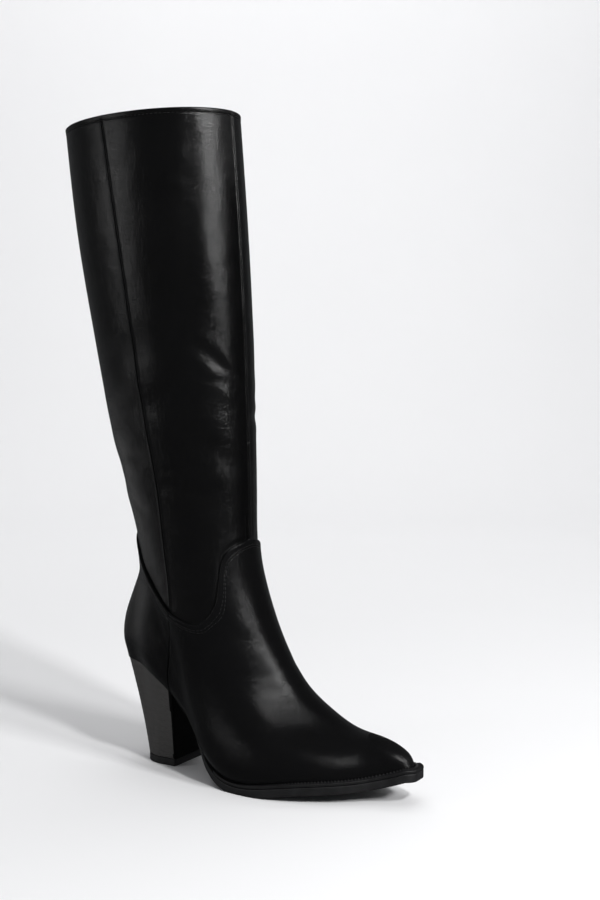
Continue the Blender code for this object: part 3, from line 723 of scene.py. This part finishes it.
def stitch_row(turn, level, lift, pitch=0.0031, half_length=0.00118, radius=0.00026):
    """Capsules at even steps along form + normal * lift, each laid along the path."""
    path = lifted(turn, level, lift + relief(turn, level))
    share, centre, along = even_steps(path, pitch)
    keys = np.linspace(0, 1, len(turn))
    outward = normals(np.interp(share, keys, turn), np.interp(share, keys, level))
    return capsules(centre, along, outward, half_length, radius)


def zip_line(low, high, slip, lift):
    """Stitches beside the zip between two levels."""
    level = np.linspace(low, high, 600)
    opening = np.where(level < 0.23, zip_opening(level), SLOT_HALF)
    side = np.sign(slip)
    turn = turn_at(np.full(level.shape, 3.0), side * (opening + abs(slip)), level)
    return stitch_row(turn, level, np.full(level.shape, lift))


# %% Stitches
COLLAR_STITCH_LEVEL = 0.9916


def make_stitches():
    """All rows: two along the topline, one at the collar, three up the zip."""
    rows = []
    on_overlay = OVERLAY_GAP + OVERLAY - 0.00010
    start = float(turn_at(np.array(3.0), SLOT_HALF + 0.002, np.array(0.24))) - 2 * np.pi
    end = float(turn_at(np.array(3.0), -SLOT_HALF - 0.002, np.array(0.24)))
    around = np.linspace(start, end, 1500)
    for distance in TOP_STITCHES:
        level = topline(around) - distance / topline_reach(around, topline(around))
        rows.append(stitch_row(around, level, np.full(around.shape, on_overlay)))
    collar = np.full(around.shape, COLLAR_STITCH_LEVEL)
    rows.append(stitch_row(around, collar, np.full(around.shape, -0.00008)))
    for slip in (-ZIP_STITCH, -ZIP_STITCH - 0.0026, ZIP_STITCH):
        rows.append(zip_line(ZIP_FOOT_LEVEL + 0.004, 0.226, slip, on_overlay))
        rows.append(zip_line(0.246, 0.985, slip, -0.00012))
    points, faces = joined(rows)
    return mesh_object("stitches", points, faces, "shaft_leather")


stitches = make_stitches()

# %% [markdown]
# ## The zip
#
# A nylon coil zip shows three things in its slot: the woven tape, a ridge where the tape is
# folded beside the teeth, and the closed coil down the middle. The tape is one strip of the
# same surface, set back by the wall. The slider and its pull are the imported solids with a
# small bevel, because cast metal has no sharp edge.

# %% Zip
SLIDER_FOOT = 0.0055
ZIP_TOP = SLIDER_LEVEL - SLIDER_FOOT / COLLAR_SCALE


def make_zip_tape():
    """Strip behind the slot: form - normal * (wall + gap), with two ridges on each side."""
    slip = np.linspace(-TAPE_HALF, TAPE_HALF, 61)[:, None]
    level = np.linspace(ZIP_FOOT_LEVEL - 0.012, 0.992, 420)[None, :]
    slip, level = (np.array(v) for v in np.broadcast_arrays(slip, level))
    turn = turn_at(np.full(level.shape, 3.0), slip, level)
    lift = relief(turn, level) - WALL - TAPE_GAP
    lift = lift + 0.0009 * groove(np.abs(slip) - 0.0029, 0.00045)
    lift = lift + 0.00035 * groove(np.abs(slip) - 0.0040, 0.00030)
    tape = grid_object("zip_tape_cloth", lifted(turn, level, lift), "zip_cloth")
    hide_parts("zip_tape")
    return tape


def make_zip_coil():
    """Capsules across the tape, by turns a little left and right of the zip's line."""
    level = np.linspace(ZIP_FOOT_LEVEL + 0.006, ZIP_TOP, 1500)
    turn = turn_at(np.full(level.shape, 3.0), 0.0, level)
    path = lifted(turn, level, relief(turn, level) - 0.0014)
    share, centre, along = even_steps(path, 0.00085)
    keys = np.linspace(0, 1, len(turn))
    outward = normals(np.interp(share, keys, turn), np.interp(share, keys, level))
    across = unit(np.cross(along, outward))
    swing = np.where(np.arange(len(centre)) % 2, 1, -1)[:, None]
    teeth = capsules(centre + across * swing * 0.0006, unit(across + along * swing * 0.12), outward,
                     0.0016, 0.00042, rings=6, sides=6)
    coil = mesh_object("zip_coil_teeth", *teeth, "zip_teeth")
    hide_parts("zip_coil")
    return coil


def bevelled(node, width):
    """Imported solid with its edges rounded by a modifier."""
    bevel = frame["nodes"][node].modifiers.new("soft edges", "BEVEL")
    bevel.width = width
    bevel.segments = 3
    bevel.limit_method = "ANGLE"
    return frame["nodes"][node]


zip_tape = make_zip_tape()
zip_coil = make_zip_coil()
slider = bevelled("zip_slider", 0.00025)
pull = bevelled("zip_pull", 0.0002)

# %% [markdown]
# ## Sole, welt and heel
#
# The sole's edge runs parallel to the feather line, seen from above, and is cut square at
# the toe. Its side is a path with a small profile: the point at a profile step is the path
# point minus the inset along the path's normal, and lowered by the profile's depth.
#
# The welt is a thin strip on the sole's rim that reaches in to the upper. A notched ridge
# beside the upper gives the toothed line between the two. The heel goes from the outline of
# the seat to a smaller D at the floor; every ring in between mixes the two outlines.

# %% Sole sizes and paths
WELT_THICK = 0.0020
WELT_START = 0.445
SOLE_THICK = 0.0062
SHANK_THICK = 0.0034
TIP_REACH = 0.0056
HEEL_BREAST_LEAN = 0.0045
HEEL_FLARE = 0.0010
HEEL_BASE_BACK = 0.0178
HEEL_BASE_HALF = 0.0208
LIFT_THICK = 0.0055
LAYER_THICK = 0.0052
TOOTH_PITCH = 0.0024
SOLE_REACH = 0.0050
SOLE_EDGE = np.array([
    # along the foot, share of SOLE_REACH beyond the feather line, thickness share
    (0.00, -0.40, 0.0),
    (0.29, -0.30, 0.1),
    (0.35, 0.20, 0.5),
    (0.40, 0.84, 0.9),
    (0.46, 1.00, 1.0),
    (0.90, 1.00, 1.0),
    (1.00, 1.40, 1.0),
])


def smoothed(values, width):
    """Moving average with a cosine window; the ends stay in place."""
    window = 1 + np.cos(np.linspace(-np.pi, np.pi, 2 * width + 1))
    window /= window.sum()
    padded = np.pad(values, ((width, width), (0, 0)), mode="reflect", reflect_type="odd")
    return np.stack([np.convolve(padded[:, k], window, "valid") for k in range(values.shape[1])], -1)


def sole_path(start, count=900):
    """Edge of the sole from the outer side round the toe to the inner side, and its normal."""
    turn = np.linspace(turn_of(start), 2 * np.pi - turn_of(start), count)
    along = (1 - np.cos(turn)) / 2
    level = np.zeros(count)
    side = normals(turn, level)[:, :2]
    reach = SOLE_REACH * np.interp(along, SOLE_EDGE[:, 0], SOLE_EDGE[:, 1])
    plan = form(turn, level)[:, :2] + side * reach[:, None]
    plan[:, 0] = np.minimum(plan[:, 0], FOOT_LENGTH + TIP_REACH)
    return along, smoothed(plan, 12), unit(smoothed(side, 12))


def thickness_at(along):
    """Sole's thickness: thin at the shank, full under the forepart, a share in between."""
    share = np.interp(along, SOLE_EDGE[:, 0], SOLE_EDGE[:, 2])
    return SHANK_THICK + (SOLE_THICK - SHANK_THICK) * share


def profile_surface(plan, side, height, profile):
    """Grid from a path and a profile of (inset, depth) steps, one pair of arrays per step."""
    steps = []
    for inset, depth in profile:
        point = plan - side * inset
        steps.append(np.concatenate([point, (height - depth)[:, None]], axis=1))
    return np.stack(steps, axis=1)


def rounded_profile(top_inset, depth, top_radius, bottom_radius, bottom_inset):
    """Steps from the top's inside over two rounded corners to the bottom's inside."""
    arc = np.linspace(0, np.pi / 2, 6)
    steps = [(top_inset, 0 * depth)]
    steps += [(top_radius * (1 - np.sin(a)), top_radius * (1 - np.cos(a)) + 0 * depth) for a in arc]
    steps += [(0, top_radius + (depth - top_radius - bottom_radius) * s) for s in (0.33, 0.67)]
    steps += [(bottom_radius * (1 - np.cos(a)), depth - bottom_radius * (1 - np.sin(a))) for a in arc]
    steps += [(bottom_inset, depth)]
    return steps


# %% Sole and welt
def make_sole():
    """Side band from the profile, and an underside that mixes its outer and inner edge."""
    start = (HEEL_BREAST + 2 * PIECE_GAP) / FOOT_LENGTH
    along, plan, side = sole_path(start)
    height = seat_height(plan[:, 0]) - SEAT_GAP
    depth = np.minimum(thickness_at(along), height)
    profile = rounded_profile(0.006, depth, 0.0006, 0.0010, 0.0015)
    band = profile_surface(plan, side, height, profile)
    half = len(plan) // 2
    outer = band[:half, -1]
    inner = band[:-half - 1:-1, -1]
    shares = np.linspace(0, 1, 25)[None, :, None]
    bottom = outer[:, None] + (inner - outer)[:, None] * shares
    under = np.maximum(seat_height(bottom[..., 0]) - SEAT_GAP - thickness_at(along[:half])[:, None], 0)
    bottom[..., 2] = under
    pieces = [(band.reshape(-1, 3), grid_quads(*band.shape[:2])[:, ::-1])]
    pieces.append((bottom.reshape(-1, 3), grid_quads(*bottom.shape[:2])[:, ::-1]))
    points, faces = joined(pieces)
    sole = mesh_object("sole_rubber", points, faces, "sole_rubber")
    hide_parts("outsole")
    return sole


def make_welt():
    """Profile along the sole's edge; the ridge's height swings with sin(2 pi length / 2.4 mm)."""
    along, plan, side = sole_path(WELT_START, count=2400)
    height = seat_height(plan[:, 0]) + WELT_THICK
    turn = np.linspace(turn_of(WELT_START), 2 * np.pi - turn_of(WELT_START), len(plan))
    feather = form(turn, 0 * turn)[:, :2]
    inside = np.sum((plan - feather) * side, axis=1) - OVERLAY_GAP - OVERLAY
    steps = np.linalg.norm(np.diff(plan, axis=0), axis=1)
    length = np.concatenate([[0], np.cumsum(steps)])
    fade = np.clip(np.minimum(length, length[-1] - length) / 0.006, 0, 1)
    tooth = np.clip(1.5 * np.sin(2 * np.pi * length / TOOTH_PITCH), -1, 1)
    ridge = (0.00055 + 0.00045 * tooth) * fade
    full = np.full(len(plan), WELT_THICK)
    profile = [(inside[:, None] + 0.0006, full), (inside[:, None] + 0.0004, -ridge * 0.8)]
    profile += [(inside[:, None] - 0.0004, -ridge), (inside[:, None] - 0.0010, -ridge * 0.8)]
    profile += [(inside[:, None] - 0.0014, 0.0001 + 0 * full), (0.0009, 0.00004 * tooth)]
    profile += rounded_profile(0.0006, full, 0.0005, 0.0002, 0.0008)[1:]
    band = profile_surface(plan, side, height, profile)
    welt = grid_object("welt_strip", band[::-1], "welt_rubber")
    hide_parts("welt")
    return welt


sole = make_sole()
welt = make_welt()


# %% Heel
def heel_loops(count=60):
    """Loops of the heel at the seat and at the floor, matched from the back to the breast."""
    turn = np.linspace(0, turn_of(HEEL_BREAST / FOOT_LENGTH), 200)
    halves = []
    shares = np.linspace(0, 1, count)
    for side in (1, -1):
        edge = form(side * turn, 0 * turn)[:, :2]
        edge = edge + normals(side * turn, 0 * turn)[:, :2] * HEEL_FLARE
        edge[0, 1] = 0
        arc = np.linspace(0, np.pi / 2, 80)
        x = HEEL_BASE_BACK + HEEL_BASE_HALF * (1 - np.cos(arc))
        y = -side * HEEL_BASE_HALF * np.sin(arc)
        breast = HEEL_BREAST - HEEL_BREAST_LEAN
        base = np.stack([np.append(x, breast), np.append(y, y[-1])], -1)
        pair = []
        for path in (edge, base):
            length = np.concatenate([[0], np.cumsum(np.linalg.norm(np.diff(path, axis=0), axis=1))])
            at = shares * length[-1]
            pair.append(np.stack([np.interp(at, length, path[:, k]) for k in (0, 1)], -1))
        halves.append(pair)
    loops = []
    for outer, inner in zip(*halves):
        breast = outer[-1] + (inner[-1] - outer[-1]) * np.linspace(0, 1, 26)[1:-1, None]
        loop = np.concatenate([outer, breast, inner[:0:-1]])
        padded = np.concatenate([loop[-4:], loop, loop[:4]])
        loops.append(smoothed(padded, 2)[4:-4])
    return loops


def make_heel():
    """Rings from base to seat, base + (top - base) * share, waisted and grooved at each layer."""
    top, base = heel_loops()
    share = np.linspace(0, 1, 170)[None, :]
    low = LIFT_THICK + PIECE_GAP
    high = seat_height(top[:, 0])[:, None] - SEAT_GAP
    z = low + (high - low) * share
    layer = np.mod((z - low) / LAYER_THICK + 0.5, 1) - 0.5
    waist = 0.0009 * np.sin(np.pi * share)
    middle = np.array([0.036, 0.0])
    plan = base[:, None] + (top - base)[:, None] * share[..., None]
    inward = unit(middle - plan)
    inset = waist + 0.00009 * groove(layer * LAYER_THICK, 0.00022)
    ends = np.minimum(share, 1 - share) * 0.07
    inset = inset + 0.0004 * (1 - rounded_edge(ends, 0.0004))
    plan = plan + inward * inset[..., None]
    points = np.concatenate([plan, np.broadcast_to(z, plan.shape[:2])[..., None]], -1)
    heel = grid_object("heel_stack", points[::-1], "heel_stack", wrap=True)
    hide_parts("heel")
    return heel


def make_heel_lift():
    """Slab with the heel's base outline and two rounded edges."""
    _, base = heel_loops()
    middle = base.mean(axis=0)
    inward = unit(middle - base)
    radius = 0.0004
    arc = np.linspace(0, np.pi / 2, 5)
    steps = [(0.9, LIFT_THICK)]
    steps += [(radius * (1 - np.sin(a)), LIFT_THICK - radius * (1 - np.cos(a))) for a in arc]
    steps += [(radius * (1 - np.cos(a)), radius * (1 - np.sin(a))) for a in arc]
    steps += [(0.9, 0.0)]
    rings = []
    for inset, z in steps:
        plan = base + (middle - base) * 0.98 if inset > 0.5 else base + inward * inset
        rings.append(np.concatenate([plan, np.full((len(plan), 1), z)], axis=1))
    lift = grid_object("heel_lift_rubber", np.stack(rings, axis=1), "lift_rubber", wrap=True)
    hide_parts("heel_lift")
    return lift


heel = make_heel()
heel_lift = make_heel_lift()

# %% [markdown]
# ## Finishes
#
# Each material is a small network of procedural textures. They read Object coordinates,
# which are metres here, so a scale of 900 means cells of about a millimetre on every piece.
#
# `add` makes one node, sets its options and connects its inputs, which keeps each recipe
# short enough to read like a list.

# %% Material helpers


def add(tree, kind, inputs=None, **options):
    """New node; inputs maps a socket's name or number to a value or to another socket."""
    node = tree.nodes.new(kind)
    for key, value in options.items():
        setattr(node, key, value)
    for key, value in (inputs or {}).items():
        if isinstance(value, bpy.types.NodeSocket):
            tree.links.new(value, node.inputs[key])
        else:
            node.inputs[key].default_value = value
    return node


def new_material(name):
    """Empty material with a Principled shader; returns material, tree, shader, coordinates."""
    made = bpy.data.materials.new(name)
    made.use_nodes = True
    tree = made.node_tree
    shader = tree.nodes["Principled BSDF"]
    place = add(tree, "ShaderNodeTexCoord").outputs["Object"]
    return made, tree, shader, place


def noise(tree, place, scale, detail=3.0, roughness=0.55, distortion=0.0):
    """Soft noise from 0 to 1 with cells of 1 / scale metres."""
    inputs = {"Vector": place, "Scale": scale, "Detail": detail, "Roughness": roughness,
              "Distortion": distortion}
    return add(tree, "ShaderNodeTexNoise", inputs).outputs["Fac"]


def remap(tree, value, low, high, from_low=0.0, from_high=1.0):
    """Value moved in a straight line from one range to another, clamped at both ends."""
    inputs = {"Value": value, "From Min": from_low, "From Max": from_high, "To Min": low,
              "To Max": high}
    return add(tree, "ShaderNodeMapRange", inputs).outputs["Result"]


def math(tree, operation, a, b):
    """One sum or product of two sockets."""
    return add(tree, "ShaderNodeMath", {0: a, 1: b}, operation=operation).outputs[0]


def blend(tree, factor, dark, light):
    """Colour between two, by a factor."""
    inputs = {0: factor, 6: (*dark, 1), 7: (*light, 1)}
    return add(tree, "ShaderNodeMix", inputs, data_type="RGBA").outputs[2]


def bump(tree, height, distance, strength=1.0, normal=None):
    """Normal tilted by a height map, distance metres high; normal is a bump below it."""
    inputs = {"Height": height, "Distance": distance, "Strength": strength}
    if normal is not None:
        inputs["Normal"] = normal
    return add(tree, "ShaderNodeBump", inputs).outputs["Normal"]


def paint(made, *objects):
    """One material on each of the objects."""
    for piece in objects:
        piece.data.materials.clear()
        piece.data.materials.append(made)


# %% [markdown]
# ## Black leather
#
# Smooth black leather has three scales: pores under a millimetre, fine level wrinkles a
# millimetre or two apart, and a broad unevenness from stretching. All three are bumps, one
# on top of the other, and break up the edge of each highlight. Patches where the finish is
# more worn change the roughness a little. Black leather is nearly black, so most of what one
# sees is the reflection of the lights.
#
# Shaft and foot are one recipe with other amounts: the foot is pulled tighter over the last,
# so it has fewer wrinkles and is a little duller. Its paler base grey is painted light, which
# lifts the dark parts of vamp and counter.

# %% Leather


def leather(name, roughness, wrinkle, shine, shade):
    """Three bumps of falling size; wrinkle scales the larger two, shade is the base grey."""
    made, tree, shader, place = new_material(name)
    broad = bump(tree, noise(tree, place, 48.0, 2.0, 0.5), 0.0008 * wrinkle)
    flat = add(tree, "ShaderNodeVectorMath", {0: place, 1: (1.0, 1.0, 1.7)}, operation="MULTIPLY")
    fine_folds = noise(tree, flat.outputs[0], 600.0, 2.0, 0.6)
    soft = bump(tree, fine_folds, 0.00017 * wrinkle, 1.0, broad)
    cells = {"Vector": place, "Scale": 1150.0, "Randomness": 0.95}
    pores = add(tree, "ShaderNodeTexVoronoi", cells, feature="DISTANCE_TO_EDGE").outputs["Distance"]
    pores = remap(tree, pores, 0.0, 1.0, 0.0, 0.28)
    normal = bump(tree, pores, 0.00005, 0.8, soft)
    tree.links.new(normal, shader.inputs["Normal"])
    worn = noise(tree, place, 34.0, 4.0, 0.6, 0.2)
    rough = remap(tree, worn, roughness - 0.02, roughness + 0.03, 0.3, 0.7)
    tree.links.new(rough, shader.inputs["Roughness"])
    light = (1.5 * shade, 1.5 * shade, 1.6 * shade)
    colour = blend(tree, worn, (shade, shade, 1.06 * shade), light)
    tree.links.new(colour, shader.inputs["Base Color"])
    shader.inputs["Specular IOR Level"].default_value = shine
    return made


SHAFT_LEATHER = leather("shaft leather", 0.22, 1.0, 0.27, 0.0016)
# The foot's base grey, paler than the shaft's, is painted light on vamp and counter.
FOOT_LEATHER = leather("foot leather", 0.21, 0.6, 0.14, 0.0028)
paint(SHAFT_LEATHER, shaft)
paint(FOOT_LEATHER, vamp, counter)

# %% [markdown]
# ## Cloth, thread, rubber, stack and metal
#
# The lining and the zip tape are woven: two crossed sets of waves give over and under. The
# heel is a stack of thin layers, which show as faint level bands; its front is near black,
# painted shade under the arch. Rubber is matte with fine grit. The slider is plated metal,
# brushed along its length and a little duller in patches.

# %% Other finishes


def woven(name, colour, scale):
    """Product of two crossed sets of waves, as height and as shade."""
    made, tree, shader, place = new_material(name)
    bands = []
    for direction in ("X", "Z"):
        inputs = {"Vector": place, "Scale": scale, "Distortion": 0.4, "Detail": 1.0,
                  "Detail Scale": 2.0}
        wave = add(tree, "ShaderNodeTexWave", inputs, bands_direction=direction)
        bands.append(wave.outputs["Fac"])
    weave = math(tree, "MULTIPLY", bands[0], bands[1])
    tree.links.new(bump(tree, weave, 0.00018, 0.7), shader.inputs["Normal"])
    dark = tuple(0.45 * c for c in colour)
    tree.links.new(blend(tree, weave, dark, colour), shader.inputs["Base Color"])
    shader.inputs["Roughness"].default_value = 0.85
    shader.inputs["Sheen Weight"].default_value = 0.12
    shader.inputs["Sheen Roughness"].default_value = 0.6
    return made


def thread(name, colour):
    """Slanted waves for the twist of the thread."""
    made, tree, shader, place = new_material(name)
    inputs = {"Vector": place, "Scale": 2400.0, "Distortion": 0.6}
    twist = add(tree, "ShaderNodeTexWave", inputs, bands_direction="DIAGONAL").outputs["Fac"]
    tree.links.new(bump(tree, twist, 0.00006, 0.6), shader.inputs["Normal"])
    tree.links.new(blend(tree, twist, tuple(0.6 * c for c in colour), colour),
                   shader.inputs["Base Color"])
    shader.inputs["Roughness"].default_value = 0.5
    return made


def rubber(name, dark, light, roughness, grit, shine=0.4):
    """Coarse noise for cloudy patches, close noise for grit."""
    made, tree, shader, place = new_material(name)
    coarse = noise(tree, place, 120.0, 5.0, 0.6)
    close = noise(tree, place, 1500.0, 3.0)
    tree.links.new(blend(tree, remap(tree, coarse, 0.0, 1.0, 0.35, 0.7), dark, light),
                   shader.inputs["Base Color"])
    tree.links.new(remap(tree, coarse, roughness - 0.06, roughness + 0.08, 0.3, 0.7),
                   shader.inputs["Roughness"])
    soft = bump(tree, coarse, 0.00035 * grit, 0.5)
    tree.links.new(bump(tree, close, 0.00008 * grit, 0.8, soft), shader.inputs["Normal"])
    shader.inputs["Specular IOR Level"].default_value = shine
    return made


def stacked(name, dark, light):
    """Level grain times faint level bands, one band to a layer."""
    made, tree, shader, place = new_material(name)
    stretched = add(tree, "ShaderNodeVectorMath", {0: place, 1: (1.0, 1.0, 7.0)}, operation="MULTIPLY")
    grain = noise(tree, stretched.outputs[0], 260.0, 5.0, 0.6, 0.2)
    inputs = {"Vector": place, "Scale": 60.0, "Distortion": 0.35, "Detail": 2.0, "Detail Scale": 3.0}
    layers = add(tree, "ShaderNodeTexWave", inputs, bands_direction="Z").outputs["Fac"]
    shade = math(tree, "MULTIPLY", grain, remap(tree, layers, 0.92, 1.0))
    tree.links.new(blend(tree, remap(tree, shade, 0.0, 1.0, 0.25, 0.65), dark, light),
                   shader.inputs["Base Color"])
    tree.links.new(remap(tree, grain, 0.36, 0.52, 0.3, 0.7), shader.inputs["Roughness"])
    tree.links.new(bump(tree, grain, 0.00007, 0.7), shader.inputs["Normal"])
    shader.inputs["Specular IOR Level"].default_value = 0.3
    return made


def plated(name):
    """Metal with noise drawn out along Z as brushing, and duller patches."""
    made, tree, shader, place = new_material(name)
    stretched = add(tree, "ShaderNodeVectorMath", {0: place, 1: (1.0, 1.0, 0.08)}, operation="MULTIPLY")
    brushed = noise(tree, stretched.outputs[0], 5200.0, 3.0)
    patches = noise(tree, place, 420.0, 3.0)
    tree.links.new(blend(tree, patches, (0.46, 0.44, 0.41), (0.64, 0.62, 0.58)),
                   shader.inputs["Base Color"])
    rough = math(tree, "ADD", remap(tree, brushed, 0.18, 0.30), remap(tree, patches, -0.03, 0.06))
    tree.links.new(rough, shader.inputs["Roughness"])
    tree.links.new(bump(tree, brushed, 0.00002, 0.5), shader.inputs["Normal"])
    shader.inputs["Metallic"].default_value = 1.0
    return made


# Width of the heel's front that gets painted shade, near black, as the arch above shades it.
SHADED_BREAST_BAND = 0.0016


def paint_breast_shade(made):
    """Painted shade: a second, near-black material on the heel's faces less than the band width behind
    its front.
    """
    heel.data.materials.append(made)
    centres = np.array([face.center for face in heel.data.polygons]) - FORM_ORIGIN
    breast = HEEL_BREAST - HEEL_BREAST_LEAN * (1 - centres[:, 2] / HEEL_RISE)
    heel.data.polygons.foreach_set("material_index", (centres[:, 0] > breast - SHADED_BREAST_BAND).astype(int))


paint(woven("lining cloth", (0.020, 0.019, 0.019), 900.0), lining)
paint(woven("zip tape", (0.016, 0.016, 0.017), 1100.0), zip_tape)
paint(thread("thread", (0.003, 0.003, 0.0032)), stitches)
paint(rubber("zip coil", (0.010, 0.010, 0.011), (0.018, 0.018, 0.019), 0.42, 0.3), zip_coil)
paint(rubber("welt", (0.004, 0.004, 0.0045), (0.008, 0.008, 0.0085), 0.50, 1.0), welt)
paint(rubber("sole", (0.006, 0.006, 0.0065), (0.011, 0.011, 0.012), 0.55, 1.0), sole)
paint(rubber("lift", (0.008, 0.008, 0.008), (0.015, 0.015, 0.016), 0.62, 1.0), heel_lift)
paint(stacked("heel stack", (0.034, 0.033, 0.032), (0.066, 0.063, 0.061)), heel)
# Near-black heel front: painted shade under the arch, not a different finish.
paint_breast_shade(rubber("heel breast painted shade", (0.0018, 0.0018, 0.0018), (0.003, 0.003, 0.003), 0.75, 0.3, shine=0.1))
paint(rubber("insole", (0.020, 0.018, 0.016), (0.032, 0.029, 0.026), 0.80, 1.4),
      frame["nodes"]["insole"])
paint(plated("nickel"), slider, pull)

# %% [markdown]
# ## Studio
#
# The backdrop is a sweep: a floor that bends up into a wall, so there is no line behind the
# boot. All one sees of black leather is what it reflects, so each light is there for one
# highlight: the key for the shaft, a small one for the foot, weak ones for both edges. The
# light on the paper and the paper itself are kept out of reflections, or the leather would
# look grey. Two cards are seen in reflections only: a dark one on the right, and a pale one
# that draws the soft band on the calf.
#
# The view transform is Standard, as the photo's blacks are deep and its white is plain. The
# camera stands where the photo's camera stood, worked out from the boot's outlines.

# %% Floor, lights and camera
CAMERA_PLACE = Vector((0.5587, -0.8209, 0.3127))
CAMERA_TURN = np.radians(31.593)
CAMERA_PITCH = np.radians(3.909)
FOCAL_LENGTH = 53.99
RIGHT = np.array([np.cos(CAMERA_TURN), np.sin(CAMERA_TURN), 0])
AHEAD = np.array([-np.sin(CAMERA_TURN), np.cos(CAMERA_TURN), 0])
UP = np.array([0, 0, 1.0])
BOOT_MIDDLE = Vector((0.0, 0.0, 0.3))
BOOT_LIGHTS = (
    # name, azimuth and elevation in degrees, distance, width, height, power
    ("key", -42, 21, 1.6, 0.26, 0.18, 15),
    ("foot light", -57, 36, 1.6, 0.12, 0.14, 14),
    ("right", -4, 24, 1.8, 0.80, 0.60, 1.6),
    ("left", -163, 7, 1.8, 0.35, 0.25, 3),
)


def studio_place(right, ahead, up):
    """Point from distances to the camera's right, away from it and up."""
    return Vector(right * RIGHT + ahead * AHEAD + up * UP)


def make_sweep():
    """Floor, a quarter circle and a wall, as one strip across the view."""
    radius = 1.2
    arc = np.linspace(0, np.pi / 2, 33)
    ahead = np.concatenate([[-3.0, -1.0, 0.5], 1.6 + radius * np.sin(arc), [1.6 + radius]])
    up = np.concatenate([[0, 0, 0], radius * (1 - np.cos(arc)), [4.5]])
    strip = ahead[:, None] * AHEAD + up[:, None] * UP
    points = np.stack([strip + side * RIGHT for side in (5.0, -5.0)], axis=0)
    mesh = bpy.data.meshes.new("sweep")
    mesh.from_pydata(points.reshape(-1, 3).tolist(), [], grid_quads(2, len(strip))[:, ::-1].tolist())
    mesh.polygons.foreach_set("use_smooth", np.ones(len(mesh.polygons), bool))
    sweep = bpy.data.objects.new("sweep", mesh)
    bpy.context.scene.collection.objects.link(sweep)
    made, tree, shader, place = new_material("paper")
    tree.links.new(blend(tree, noise(tree, place, 3.0), (0.85, 0.85, 0.86), (0.87, 0.87, 0.88)),
                   shader.inputs["Base Color"])
    shader.inputs["Roughness"].default_value = 0.9
    shader.inputs["Specular IOR Level"].default_value = 0.1
    sweep.data.materials.append(made)
    sweep.visible_glossy = False
    sweep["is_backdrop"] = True


def make_card(name, right, ahead, facing, width, height, grey):
    """Card that only the leather sees, as a reflection: no light on the set, no shadow."""
    middle = studio_place(right, ahead, 0.0)
    facing = np.radians(facing)
    half = studio_place(-np.sin(facing), np.cos(facing), 0.0) * width / 2
    top = Vector((0, 0, height))
    mesh = bpy.data.meshes.new(name)
    points = [middle - half, middle + half, middle + half + top, middle - half + top]
    mesh.from_pydata(points, [], [(0, 1, 2, 3)])
    card = bpy.data.objects.new(name, mesh)
    bpy.context.scene.collection.objects.link(card)
    made, _, shader, _ = new_material(name)
    shader.inputs["Base Color"].default_value = (grey, grey, grey, 1)
    shader.inputs["Roughness"].default_value = 0.9
    mesh.materials.append(made)
    card.visible_camera = False
    card.visible_diffuse = False
    card.visible_shadow = False
    card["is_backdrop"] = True


def soft_light(name, azimuth, elevation, distance, width, height, power, aim=BOOT_MIDDLE):
    """Rectangle of light facing its aim; azimuth counts from the camera's right hand."""
    lamp = bpy.data.lights.new(name, "AREA")
    lamp.shape = "RECTANGLE"
    lamp.size = width
    lamp.size_y = height
    lamp.energy = power
    made = bpy.data.objects.new(name, lamp)
    azimuth, elevation = np.radians((azimuth, elevation))
    level = distance * np.cos(elevation)
    offset = studio_place(level * np.cos(azimuth), level * np.sin(azimuth), distance * np.sin(elevation))
    made.location = BOOT_MIDDLE + offset
    made.rotation_mode = "QUATERNION"
    made.rotation_quaternion = (aim - made.location).to_track_quat("-Z", "Y")
    bpy.context.scene.collection.objects.link(made)
    made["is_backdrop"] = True
    return made


def make_world(colour, strength):
    """Even dim light from all sides."""
    world = bpy.data.worlds.new("studio")
    world.use_nodes = True
    background = world.node_tree.nodes["Background"]
    background.inputs["Color"].default_value = (*colour, 1)
    background.inputs["Strength"].default_value = strength
    bpy.context.scene.world = world


def make_camera():
    """Camera at its place, looking level along the view and then down by the pitch."""
    data = bpy.data.cameras.new("camera")
    data.lens = FOCAL_LENGTH
    data.sensor_width = 36.0
    made = bpy.data.objects.new("camera", data)
    look = Vector(AHEAD * np.cos(CAMERA_PITCH) - UP * np.sin(CAMERA_PITCH))
    made.location = CAMERA_PLACE
    made.rotation_mode = "QUATERNION"
    made.rotation_quaternion = look.to_track_quat("-Z", "Y")
    bpy.context.scene.collection.objects.link(made)
    bpy.context.scene.camera = made


make_sweep()
make_card("black card", 0.17, 0.10, -28, 0.32, 0.47, 0.01)
make_card("white card", -0.52, 0.22, -23, 0.55, 0.19, 0.45)
for light in BOOT_LIGHTS:
    soft_light(*light)
ceiling = soft_light("ceiling", 90, 80, 2.4, 3.0, 3.0, 27)
backdrop = soft_light("backdrop", 90, 62, 2.2, 3.2, 0.8, 34, aim=studio_place(0, 2.8, 1.1))
for lamp in (ceiling, backdrop):
    lamp.visible_glossy = False
make_world((0.95, 0.97, 1.0), 0.11)
bpy.context.scene.view_settings.view_transform = "Standard"
make_camera()

# %% Sizes against the solids
low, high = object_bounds()
beyond = [*(CAD_LOW - low), *(high - CAD_HIGH)]
print("beyond the CAD box in mm:", [round(float(v) * 1000, 1) for v in beyond])
triangles = {o.name: sum(len(p.vertices) - 2 for p in o.data.polygons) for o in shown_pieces()}
print("triangles:", sum(triangles.values()), "most in one piece:", max(triangles.values()))
